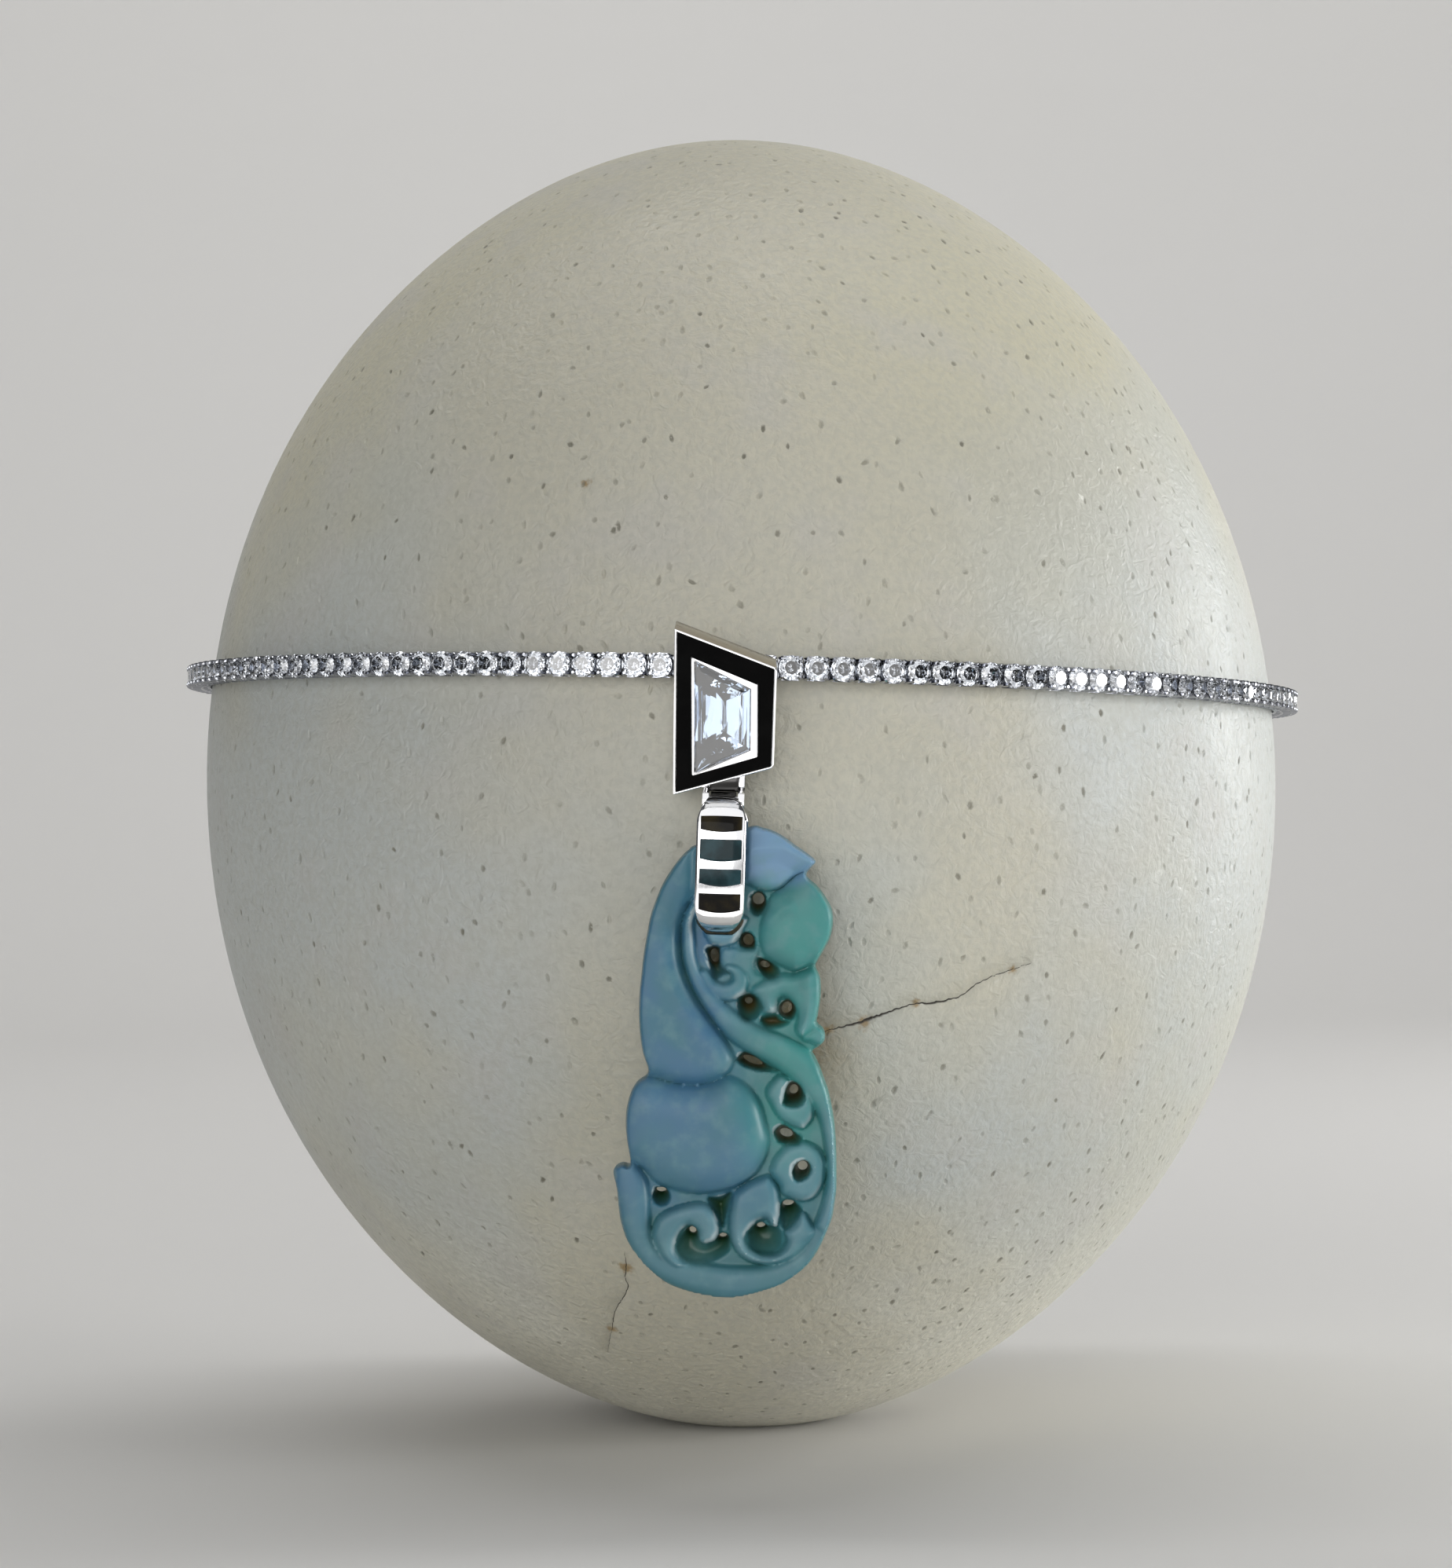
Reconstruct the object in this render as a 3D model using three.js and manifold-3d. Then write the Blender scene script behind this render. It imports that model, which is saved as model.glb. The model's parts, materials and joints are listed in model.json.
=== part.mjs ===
// Ostrich egg dressed with a diamond line necklace, a trapezoid centre and a carved jade drop.
// Millimetres, +Z up. The origin is the middle of the flat spot that the egg stands on,
// and the jewel hangs on the -Y side.
import * as THREE from 'three';
import { mergeVertices } from 'three/addons/utils/BufferGeometryUtils.js';
import Module from 'manifold-3d';

const wasm = await Module();
wasm.setup();

// Egg
const eggDiameter = 125;
const eggHalfLength = 75.4;
const eggTaper = 0.067;
const footDepth = 0.9;
const eggMiddle = eggHalfLength - footDepth;
const eggRows = 25;
const eggSides = 44;

// Diamond line
const linkCount = 150;
const linkHeight = 2.75;
const lineInner = 62.15;
const lineOuter = 65.0;
const lineNotch = 1.1;
const notchShare = 0.16;
const linkAngle = (2 * Math.PI) / linkCount;

// The line lies a little lower on its right and at the back, where it is drawn away from the wider shell
const lineMiddle = new THREE.Vector3(0.34, 0.16, eggMiddle + 10.7);
const lineTurn = THREE.MathUtils.degToRad(2.5);
const linePitch = THREE.MathUtils.degToRad(1.2);
const lineFrontLevel = lineMiddle.z + ((lineInner + lineOuter) / 2) * Math.sin(linePitch);

// Box clasp at the back of the line, in place of whole links
const claspLinks = 4;
const claspHeight = 3.2;
const claspSteps = 4;
const claspProud = 0.35;
const claspGap = 0.12;

// Jewel frame: x across, y away from the viewer, z up, with y = 0 at the hinge axis
const jewelDepth = -67;
const jewelLevel = 74.03;
const jewelTurn = THREE.MathUtils.degToRad(2.8);

// Trapezoid centre, drawn on its own leaning face
const centreLean = THREE.MathUtils.degToRad(14.5);
const centreFaceDepth = -0.3;
const centreThickness = 4.0;
const centreCorners = [[-5.15, -0.85], [5.05, 2.3], [5.15, 12.7], [-5.3, 16.5]];
const windowCorners = [[-3.25, 1.25], [3.35, 3.4], [3.2, 10.95], [-3.5, 13.6]];
const stoneCorners = [[-2.95, 1.5], [2.55, 4.1], [2.5, 10.4], [-3.15, 13.15]];
const centreMiddle = [0, 7.4];
const rimWidth = 0.24;
const borderDepth = 0.8;
const settingDepth = 3.3;
const cutPast = 1;
const fitGap = 0.06;
// Step-cut stone: share of its outline left at each depth, from the table to the keel
const stoneSteps = [[0.66, 0.05], [0.86, 0.2], [1, 0.35], [0.98, 0.55], [0.62, 1.7], [0.2, 2.9]];

// Rails on the back of the centre that hold the line from above and below
const railFrom = -4.0;
const railTo = 0.4;
const railThickness = 0.75;
const railClearance = 0.32;
const upperRailStart = -0.5;
const lowerRailStart = 0.5;
const railReach = 4.6;

// Hinge under the centre
const hingeDrop = -1.2;
const barrelRadius = 0.9;
const barrelLength = 2.6;
const pinRadius = 0.42;
const boreRadius = 0.52;
const lugThickness = 0.7;
const lugGap = 0.15;
const lugTop = 2.2;
const lugRootFront = 0.64;
const lugRootBack = 1.9;
const lugShoulder = [[lugRootFront, 0.2], [-0.55, -0.45]];
const lugHeel = 0.6;
const roundSides = 14;
// Plate between the lugs that closes the gap above the barrel
const hangerHalfWidth = 1.8;
const hangerFront = 1.0;
const hangerBottom = -0.3;

// Bail: a closed loop seen from the side, shaped by its front outline
const bailMiddle = -7.6;
const bailDepthMiddle = -0.2;
const bailHalfHeight = 7.0;
const bailHalfDepth = 4.2;
const bailWall = 1.1;
const bailSquareness = 3.0;
const bailSteps = 36;
const bailWidth = 5.0;
const bailTop = 0.5;
const bailReach = 6;
// Half width of the bail at each height
const bailSide = [[1.45, -0.7], [2.0, -1.4], [2.3, -2.1], [bailWidth / 2, -2.9], [bailWidth / 2, -12.5],
  [2.25, -13.4], [1.9, -13.95], [1.4, -14.35], [0.6, -14.7]];
const inlayWidth = 4.15;
const inlayDepth = 0.55;
const inlaySteps = 4;
const inlaySpans = [[-2.75, -4.05], [-5.1, -7.05], [-8.1, -9.55], [-10.6, -12.2]];

// Jade drop
const jadeBack = 2.8;
const jadePlate = 3.3;
const reliefRoot = 1;
// Raised forms on its face, with their heights above its back
const podHeight = 5.5;
const podShoulder = 0.95;
const leafHeight = 4.6;
const leafShoulder = 0.8;
const bigFruit = { x: -1.7, z: -35.4, halfWidth: 7.2, halfHeight: 6.3, height: 5.5 };
const smallFruit = { x: 7.9, z: -14.3, halfWidth: 3.5, halfHeight: 3.9, height: 5.2 };
const berryFlat = 0.1;
const stemRadius = 1.1;
const stemHeight = 4.4;
const stemSteps = 2;
const hookRadius = 0.8;
const hookHeight = 4.2;
const curlHeight = 4.5;
const collars = [
  { x: 7.9, z: -31.4, radius: 1.95, thickness: 0.65, height: 4.3 },
  { x: 8.9, z: -38.6, radius: 1.8, thickness: 0.7, height: 4.3 },
];
// The tongue of jade inside the bail's loop, and the eye that the loop passes through
const tongueHalfWidth = 2.8;
const tongueBottom = -14.9;
const tongueFront = -1.25;
const tongueBack = 1.05;
const tongueClear = 9;
const eyeCorners = [[-2.5, -13.1], [-2.3, -13.75], [-1.9, -14.3], [-1.3, -14.8], [1.3, -14.8], [1.9, -14.3],
  [2.3, -13.75], [2.5, -13.1]];

const finishes = {
  shell: new THREE.MeshStandardMaterial({ color: 0xd9d4c2, roughness: 0.45, metalness: 0 }),
  whiteGold: new THREE.MeshStandardMaterial({ color: 0xe6e6ea, roughness: 0.15, metalness: 1 }),
  diamond: new THREE.MeshStandardMaterial({ color: 0xe9effa, roughness: 0.02, metalness: 0 }),
  onyx: new THREE.MeshStandardMaterial({ color: 0x0b0b0c, roughness: 0.12, metalness: 0 }),
  jade: new THREE.MeshStandardMaterial({ color: 0x7fa9ac, roughness: 0.3, metalness: 0 }),
};

// Closed geometry to solid and back
function toSolid(geometry) {
  const bare = geometry.index ? geometry.toNonIndexed() : geometry.clone();
  bare.deleteAttribute('normal');
  bare.deleteAttribute('uv');
  const merged = mergeVertices(bare, 1e-4);
  const vertProperties = new Float32Array(merged.attributes.position.array);
  const triVerts = new Uint32Array(merged.index.array);
  return new wasm.Manifold(new wasm.Mesh({ numProp: 3, vertProperties, triVerts }));
}

function toGeometry(solid) {
  const { vertProperties, triVerts } = solid.getMesh();
  const geometry = new THREE.BufferGeometry();
  geometry.setAttribute('position', new THREE.BufferAttribute(vertProperties, 3));
  geometry.setIndex(new THREE.BufferAttribute(triVerts, 1));
  geometry.computeVertexNormals();
  return geometry;
}

function joined(geometries) {
  const [first, ...others] = geometries.map(toSolid);
  return others.reduce((whole, piece) => whole.add(piece), first);
}

function cutAll(solid, geometries) {
  return geometries.reduce((rest, tool) => rest.subtract(toSolid(tool)), solid);
}

// A front outline (x, z) pushed from y = back towards the viewer
function frontPrism(shape, back, depth, options = {}) {
  const settings = { depth, bevelEnabled: false, curveSegments: 3, ...options };
  const geometry = new THREE.ExtrudeGeometry(shape, settings);
  geometry.rotateX(Math.PI / 2);
  geometry.translate(0, back, 0);
  return geometry;
}

// A side outline (y, z) pushed from x = from along +X
function sidePrism(shape, from, width) {
  const geometry = new THREE.ExtrudeGeometry(shape, { depth: width, bevelEnabled: false, curveSegments: 6 });
  geometry.rotateX(Math.PI / 2);
  geometry.rotateZ(Math.PI / 2);
  geometry.translate(from, 0, 0);
  return geometry;
}

function block(x0, x1, y0, y1, z0, z1) {
  const geometry = new THREE.BoxGeometry(x1 - x0, y1 - y0, z1 - z0);
  geometry.translate((x0 + x1) / 2, (y0 + y1) / 2, (z0 + z1) / 2);
  return geometry;
}

function crossBar(radius, length, sides, z) {
  const geometry = new THREE.CylinderGeometry(radius, radius, length, sides);
  geometry.rotateZ(Math.PI / 2);
  geometry.translate(0, 0, z);
  return geometry;
}

function polygon(points) {
  return new THREE.Shape(points.map(([x, z]) => new THREE.Vector2(x, z)));
}

// Egg of revolution with a small flat spot to stand on
function eggRadius(z) {
  const t = THREE.MathUtils.clamp((z - eggMiddle) / eggHalfLength, -1, 1);
  return (eggDiameter / 2) * Math.sqrt(1 - t * t) * (1 - eggTaper * t ** 4);
}

function makeEgg() {
  const profile = [new THREE.Vector2(0, 0)];
  const start = Math.acos(eggMiddle / eggHalfLength);
  for (let row = 0; row < eggRows; row += 1) {
    const angle = start + ((Math.PI - start) * row) / eggRows;
    const z = eggMiddle - eggHalfLength * Math.cos(angle);
    profile.push(new THREE.Vector2(eggRadius(z), z));
  }
  profile.push(new THREE.Vector2(0, eggMiddle + eggHalfLength));
  const geometry = new THREE.LatheGeometry(profile, eggSides);
  geometry.rotateX(Math.PI / 2);
  return toSolid(geometry);
}

// Plan of a stretch of the line, with a notch between each two links
function onCircle(radius, angle) {
  return new THREE.Vector2(radius * Math.sin(angle), -radius * Math.cos(angle));
}

function makeLine() {
  const links = linkCount - claspLinks;
  const first = -(links * linkAngle) / 2;
  const outer = [];
  const inner = [];
  for (let link = 0; link < links; link += 1) {
    const from = first + link * linkAngle;
    outer.push(onCircle(lineOuter, from + notchShare * linkAngle));
    outer.push(onCircle(lineOuter, from + (1 - notchShare) * linkAngle));
    inner.push(onCircle(lineInner, from + linkAngle / 2));
    if (link < links - 1) outer.push(onCircle(lineOuter - lineNotch, from + linkAngle));
  }
  const plan = new THREE.Shape([...outer, ...inner.reverse()]);
  const geometry = new THREE.ExtrudeGeometry(plan, { depth: linkHeight, bevelEnabled: false });
  geometry.translate(0, 0, -linkHeight / 2);
  return toSolid(geometry);
}

function makeClasp() {
  const half = (claspLinks * linkAngle) / 2 - claspGap / lineInner;
  const outer = [];
  const inner = [];
  for (let step = 0; step <= claspSteps; step += 1) {
    const angle = Math.PI + half * ((2 * step) / claspSteps - 1);
    outer.push(onCircle(lineOuter + claspProud, angle));
    inner.push(onCircle(lineInner, angle));
  }
  const plan = new THREE.Shape([...outer, ...inner.reverse()]);
  const geometry = new THREE.ExtrudeGeometry(plan, { depth: claspHeight, bevelEnabled: false });
  geometry.translate(0, 0, -claspHeight / 2);
  return toSolid(geometry);
}

// Corner points of a four-sided outline moved inwards by a fixed margin
function inset(corners, margin) {
  return corners.map((corner, index) => {
    const here = new THREE.Vector2(...corner);
    const before = new THREE.Vector2(...corners[(index + 3) % 4]);
    const after = new THREE.Vector2(...corners[(index + 1) % 4]);
    const toBefore = before.sub(here).normalize();
    const toAfter = after.sub(here).normalize();
    const reach = margin / Math.abs(toBefore.cross(toAfter));
    const moved = here.add(toBefore.add(toAfter).multiplyScalar(reach));
    return [moved.x, moved.y];
  });
}

function ringOf(outerCorners, innerCorners) {
  const shape = polygon(outerCorners);
  shape.holes.push(new THREE.Path(polygon(innerCorners).getPoints()));
  return shape;
}

// Places something drawn on the leaning face of the centre into the jewel frame
const leaningFace = new THREE.Matrix4().makeRotationX(centreLean);
leaningFace.setPosition(0, centreFaceDepth, 0);

function lugOutline() {
  const shape = new THREE.Shape();
  shape.absarc(0, hingeDrop, barrelRadius, Math.PI, 2 * Math.PI, false);
  shape.lineTo(lugRootBack, lugHeel);
  shape.lineTo(lugRootBack, lugTop);
  shape.lineTo(lugRootFront, lugTop);
  lugShoulder.forEach(([y, z]) => shape.lineTo(y, z));
  return shape;
}

function makeCentreFrame() {
  const border = ringOf(inset(centreCorners, rimWidth), windowCorners);
  const body = cutAll(toSolid(frontPrism(polygon(centreCorners), centreThickness, centreThickness)), [
    frontPrism(border, borderDepth, borderDepth + cutPast),
    frontPrism(polygon(inset(stoneCorners, -fitGap)), settingDepth, settingDepth + cutPast),
  ]);
  const leaningBody = toGeometry(body).applyMatrix4(leaningFace);
  const lineAbove = lineFrontLevel - jewelLevel;
  const railOffset = linkHeight / 2 + railClearance;
  const rails = [
    [upperRailStart, lineAbove + railOffset],
    [lowerRailStart, lineAbove - railOffset - railThickness],
  ].map(([start, z]) => block(railFrom, railTo, start, railReach, z, z + railThickness));
  const lugStart = barrelLength / 2 + lugGap;
  const lugs = [lugStart, -lugStart - lugThickness].map((x) => sidePrism(lugOutline(), x, lugThickness));
  const hanger = block(-hangerHalfWidth, hangerHalfWidth, hangerFront, lugRootBack, hangerBottom, lugTop);
  const whole = joined([leaningBody, ...rails, ...lugs, hanger]);
  return cutAll(whole, [crossBar(boreRadius, 3 * barrelLength, roundSides, hingeDrop)]);
}

function makeBorder() {
  const outer = inset(centreCorners, rimWidth + fitGap);
  const inner = inset(windowCorners, -fitGap);
  return toSolid(frontPrism(ringOf(outer, inner), borderDepth - fitGap, borderDepth - fitGap));
}

// Step-cut stone: rings of the outline, drawn in towards its middle at each depth
function makeCentreStone() {
  const rings = stoneSteps.map(([scale, depth]) => stoneCorners.map(([x, z]) => new THREE.Vector3(
    centreMiddle[0] + (x - centreMiddle[0]) * scale,
    depth,
    centreMiddle[1] + (z - centreMiddle[1]) * scale,
  )));
  const points = rings.flat();
  const faces = [[0, 1, 2], [0, 2, 3]];
  for (let ring = 0; ring + 1 < rings.length; ring += 1) {
    for (let side = 0; side < 4; side += 1) {
      const here = ring * 4 + side;
      const next = ring * 4 + ((side + 1) % 4);
      faces.push([here, here + 4, next + 4], [here, next + 4, next]);
    }
  }
  const last = points.length - 4;
  faces.push([last, last + 2, last + 1], [last, last + 3, last + 2]);
  const geometry = new THREE.BufferGeometry().setFromPoints(points);
  geometry.setIndex(faces.flat());
  return toSolid(geometry);
}

function makePin() {
  const length = barrelLength + 2 * (lugGap + lugThickness);
  return toSolid(crossBar(pinRadius, length, roundSides, hingeDrop));
}

// Bail loop
function superellipse(halfDepth, halfHeight, count) {
  return Array.from({ length: count }, (_, index) => {
    const angle = (2 * Math.PI * index) / count;
    const power = 2 / bailSquareness;
    const depth = Math.sign(Math.cos(angle)) * Math.abs(Math.cos(angle)) ** power;
    const height = Math.sign(Math.sin(angle)) * Math.abs(Math.sin(angle)) ** power;
    return new THREE.Vector2(bailDepthMiddle + halfDepth * depth, bailMiddle + halfHeight * height);
  });
}

function bailFront(z) {
  const share = Math.abs((z - bailMiddle) / bailHalfHeight) ** bailSquareness;
  return bailDepthMiddle - bailHalfDepth * (1 - share) ** (1 / bailSquareness);
}

// Side outline of a strip let into the front of the bail
function inlayOutline([top, bottom], margin) {
  const heights = Array.from({ length: inlaySteps + 1 }, (_, step) =>
    top + margin - ((top - bottom + 2 * margin) * step) / inlaySteps);
  const proud = 10 * margin;
  const front = heights.map((z) => new THREE.Vector2(bailFront(z) - proud, z));
  const back = heights.map((z) => new THREE.Vector2(bailFront(z) + inlayDepth + margin, z)).reverse();
  return new THREE.Shape([...front, ...back]);
}

function makeBail() {
  const loop = new THREE.Shape(superellipse(bailHalfDepth, bailHalfHeight, bailSteps));
  const insideLoop = superellipse(bailHalfDepth - bailWall, bailHalfHeight - bailWall, bailSteps);
  loop.holes.push(new THREE.Path(insideLoop));
  const rightSide = [[bailSide[0][0], bailTop], ...bailSide];
  const leftSide = rightSide.map(([x, z]) => [-x, z]).reverse();
  const front = frontPrism(polygon([...rightSide, ...leftSide]), bailReach, 2 * bailReach);
  const strap = toSolid(sidePrism(loop, -bailWidth / 2, bailWidth)).intersect(toSolid(front));
  const lugRoom = lugThickness + 4 * lugGap;
  const lugStart = barrelLength / 2;
  const lugRooms = [lugStart + lugRoom / 2, -lugStart - lugRoom / 2].map((x) => {
    const room = crossBar(barrelRadius + lugGap, lugRoom, roundSides, hingeDrop);
    room.translate(x, 0, 0);
    return room;
  });
  const grooves = inlaySpans.map((span) =>
    sidePrism(inlayOutline(span, fitGap), -inlayWidth / 2 - fitGap, inlayWidth + 2 * fitGap));
  const barrel = toSolid(crossBar(barrelRadius, barrelLength, roundSides, hingeDrop));
  const bore = crossBar(boreRadius, 3 * barrelLength, roundSides, hingeDrop);
  return cutAll(cutAll(strap, [...lugRooms, ...grooves]).add(barrel), [bore]);
}

function makeInlay(span) {
  return toSolid(sidePrism(inlayOutline(span, 0), -inlayWidth / 2, inlayWidth));
}

// Jade outline, one smooth stretch between each two notches or tips
const jadeStretches = [
  [[0, -4.6], [-2.5, -5.7], [-5.05, -8.3], [-6.8, -12.1], [-7.8, -18], [-8, -22], [-7.5, -27], [-6.9, -29]],
  [[-8.3, -30.4], [-9, -33.5], [-8.85, -36], [-8.45, -38.35]],
  [[-9.5, -38.45], [-10.15, -39.4]],
  [[-9.6, -42.2], [-8.5, -46.3], [-6.2, -49.05], [-2.6, -51.05], [1.5, -51.6], [6.8, -50.35], [10.5, -47.2],
    [12.25, -43], [12.5, -39], [12.05, -33], [10.9, -29], [9.7, -26.2]],
  [[10.6, -25.7], [10.85, -24.6], [9.9, -23.4]],
  [[10.25, -20.8], [9.7, -17.8]],
  [[11, -15.2], [11.4, -13], [10.6, -10.7], [8.6, -8.5]],
  [[9.5, -7.1]],
  [[7.3, -5.5], [5.2, -4.2], [2.6, -3.8], [0, -4.6]],
];
const podOutline = [[-3.4, -6.9], [-5.5, -9.7], [-7, -14], [-7.65, -19], [-7.75, -22.5], [-7.2, -27],
  [-6.2, -29.4], [-3, -30.2], [0, -29.7], [1.5, -28.5], [0.4, -26.3], [-1.2, -23.3], [-3.2, -19.6],
  [-4, -16], [-3.8, -12.8], [-3, -10.2]];
const leafOutline = [[2.7, -4.1], [5.1, -4.5], [7.2, -5.7], [9.2, -7.1], [7.6, -8.3], [5.8, -9.9], [3, -10]];
const vineRoute = [[-2.2, -11.4], [-2.9, -14.5], [-2.7, -18], [-0.9, -21.1], [2.4, -23.8], [6.7, -26.2],
  [9.7, -28.6], [11, -31.6], [11.3, -36], [11.1, -41.5], [9.8, -45.8], [6.5, -48.7], [2.2, -49.9],
  [-2.8, -48.9], [-6.6, -46], [-8.2, -42.6], [-8.9, -40]];
const hookRoute = [[-1.6, -18.7], [-0.4, -20], [1, -20.4], [2.1, -19.9], [2.5, -19.1], [2, -18.4]];
const leftCurl = [[-3, -48.8], [-4.5, -47.4], [-5, -45.7], [-4.5, -44.3], [-3.2, -43.5], [-1.7, -43.4],
  [-0.4, -43.9], [-0.1, -44.9]];
const rightCurl = [[7.2, -47.7], [5.3, -47.7], [3.7, -46.8], [2.8, -45.4], [2.9, -43.7], [3.8, -42.5],
  [5.1, -42], [6.1, -42.8]];

function smoothShape(stretches) {
  const shape = new THREE.Shape();
  shape.moveTo(...stretches[0][0]);
  stretches.forEach((stretch, index) => {
    const points = index === 0 ? stretch.slice(1) : stretch;
    shape.splineThru(points.map(([x, z]) => new THREE.Vector2(x, z)));
  });
  return shape;
}

// A raised form with a rounded shoulder, standing on the plate
function relief(outline, height, shoulder) {
  const shape = smoothShape([[...outline, outline[0]]]);
  return frontPrism(shape, jadeBack - reliefRoot, height - reliefRoot - shoulder, {
    curveSegments: 1,
    bevelEnabled: true,
    bevelSegments: 2,
    bevelSize: shoulder,
    bevelOffset: -shoulder,
    bevelThickness: shoulder,
  });
}

function berry({ x, z, halfWidth, halfHeight, height }) {
  const geometry = new THREE.SphereGeometry(1, 18, 10);
  geometry.rotateX(Math.PI / 2);
  const swell = height / 2 - berryFlat;
  geometry.scale(halfWidth, swell, halfHeight);
  geometry.translate(x, jadeBack - height + swell, z);
  return geometry;
}

// A round stem along a route on the face of the jade
function stem(route, radius, height) {
  const points = route.map(([x, z]) => new THREE.Vector3(x, jadeBack - height + radius, z));
  const extrudePath = new THREE.CatmullRomCurve3(points);
  const section = new THREE.Shape();
  section.absarc(0, 0, radius, 0, 2 * Math.PI, false);
  const steps = (route.length - 1) * stemSteps;
  return new THREE.ExtrudeGeometry(section, { extrudePath, steps, curveSegments: 3, bevelEnabled: false });
}

function collar({ x, z, radius, thickness, height }) {
  const geometry = new THREE.TorusGeometry(radius, thickness, 6, 14);
  geometry.rotateX(Math.PI / 2);
  geometry.translate(x, jadeBack - height + thickness, z);
  return geometry;
}

// Openings pierced through the jade: middle, half width, half height and tilt in degrees
const piercings = [
  [3.8, -11.3, 0.65, 0.75, 0], [2.85, -15.3, 0.6, 0.65, 0], [-0.5, -17, 0.5, 0.8, 8],
  [4.7, -17.8, 0.6, 0.42, -20], [7, -22.1, 0.55, 0.65, -25], [3.7, -27.55, 1.15, 0.42, -20],
  [7.95, -30.5, 0.5, 0.65, -15], [7.3, -34.9, 0.75, 0.5, -15], [9.05, -38.2, 0.55, 0.6, 0],
  [-5.3, -41.2, 0.6, 0.45, 0], [-1.95, -45.4, 0.42, 0.55, 20], [1.15, -45.5, 0.45, 0.3, 10],
  [5, -44.6, 0.6, 0.45, 15], [7.7, -42.1, 0.6, 0.42, 10],
];

function piercing([x, z, halfWidth, halfHeight, tilt]) {
  const shape = new THREE.Shape();
  shape.absellipse(0, 0, halfWidth, halfHeight, 0, 2 * Math.PI, false, 0);
  const geometry = frontPrism(shape, jadeBack + cutPast, tongueClear, { curveSegments: 5 });
  geometry.rotateY(-THREE.MathUtils.degToRad(tilt));
  geometry.translate(x, 0, z);
  return geometry;
}

function makeJade() {
  const whole = joined([
    frontPrism(smoothShape(jadeStretches), jadeBack, jadePlate, { curveSegments: 2 }),
    relief(podOutline, podHeight, podShoulder),
    relief(leafOutline, leafHeight, leafShoulder),
    berry(bigFruit),
    berry(smallFruit),
    stem(vineRoute, stemRadius, stemHeight),
    stem(hookRoute, hookRadius, hookHeight),
    stem(leftCurl, stemRadius, curlHeight),
    stem(rightCurl, stemRadius, curlHeight),
    ...collars.map(collar),
  ]);
  const tongueRooms = [
    block(-tongueHalfWidth, tongueHalfWidth, -tongueClear, tongueFront, tongueBottom, 0),
    block(-tongueHalfWidth, tongueHalfWidth, tongueBack, jadeBack + cutPast, tongueBottom, 0),
    frontPrism(polygon(eyeCorners), jadeBack + cutPast, tongueClear),
  ];
  return cutAll(whole, [...tongueRooms, ...piercings.map(piercing)]);
}

function named(name, solid, material) {
  const mesh = new THREE.Mesh(toGeometry(solid), material);
  mesh.name = name;
  return mesh;
}

// The leaning centre, and the drop that swings below it, hang in one turned frame
const leaning = new THREE.Group();
leaning.position.set(0, centreFaceDepth, 0);
leaning.rotation.x = centreLean;
leaning.add(
  named('onyx_border', makeBorder(), finishes.onyx),
  named('centre_diamond', makeCentreStone(), finishes.diamond),
);

const drop = new THREE.Group();
drop.add(
  named('bail', makeBail(), finishes.whiteGold),
  ...inlaySpans.map((span, index) => named(`bail_inlay_${index + 1}`, makeInlay(span), finishes.onyx)),
  named('jade_drop', makeJade(), finishes.jade),
);

const jewel = new THREE.Group();
jewel.position.set(0, jewelDepth, jewelLevel);
jewel.rotation.y = jewelTurn;
jewel.add(
  named('centre_frame', makeCentreFrame(), finishes.whiteGold),
  named('hinge_pin', makePin(), finishes.whiteGold),
  leaning,
  drop,
);

const necklace = new THREE.Group();
necklace.position.copy(lineMiddle);
necklace.rotation.set(-linePitch, lineTurn, 0);
necklace.add(
  named('diamond_line', makeLine(), finishes.diamond),
  named('line_clasp', makeClasp(), finishes.whiteGold),
);

const dressedEgg = new THREE.Group();
dressedEgg.add(named('egg', makeEgg(), finishes.shell), necklace, jewel);

export default dressedEgg;
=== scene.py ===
import json
import math

import bmesh
import bpy
import numpy as np
from mathutils import Matrix, Vector, kdtree, noise
from mathutils.geometry import delaunay_2d_cdt


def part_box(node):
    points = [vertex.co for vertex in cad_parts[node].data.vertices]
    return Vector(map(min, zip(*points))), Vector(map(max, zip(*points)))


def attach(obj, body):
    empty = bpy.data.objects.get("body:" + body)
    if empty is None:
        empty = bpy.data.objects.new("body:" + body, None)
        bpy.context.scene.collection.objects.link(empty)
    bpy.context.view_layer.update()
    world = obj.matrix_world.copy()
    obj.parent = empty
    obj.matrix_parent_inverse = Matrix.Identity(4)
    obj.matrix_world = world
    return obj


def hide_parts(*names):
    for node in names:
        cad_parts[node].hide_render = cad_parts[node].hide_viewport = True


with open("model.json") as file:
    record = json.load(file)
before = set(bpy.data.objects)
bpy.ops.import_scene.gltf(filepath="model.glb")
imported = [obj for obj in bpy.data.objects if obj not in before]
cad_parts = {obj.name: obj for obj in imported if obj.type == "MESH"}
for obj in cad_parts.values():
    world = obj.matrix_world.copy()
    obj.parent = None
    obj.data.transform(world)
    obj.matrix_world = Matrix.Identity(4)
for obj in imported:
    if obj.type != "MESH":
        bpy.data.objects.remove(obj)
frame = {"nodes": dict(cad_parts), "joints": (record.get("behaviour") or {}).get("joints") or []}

mm = 0.001
scene = bpy.context.scene
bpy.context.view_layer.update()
joint = frame["joints"][0]
print("frame loaded:", len(frame["nodes"]), "nodes")

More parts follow.
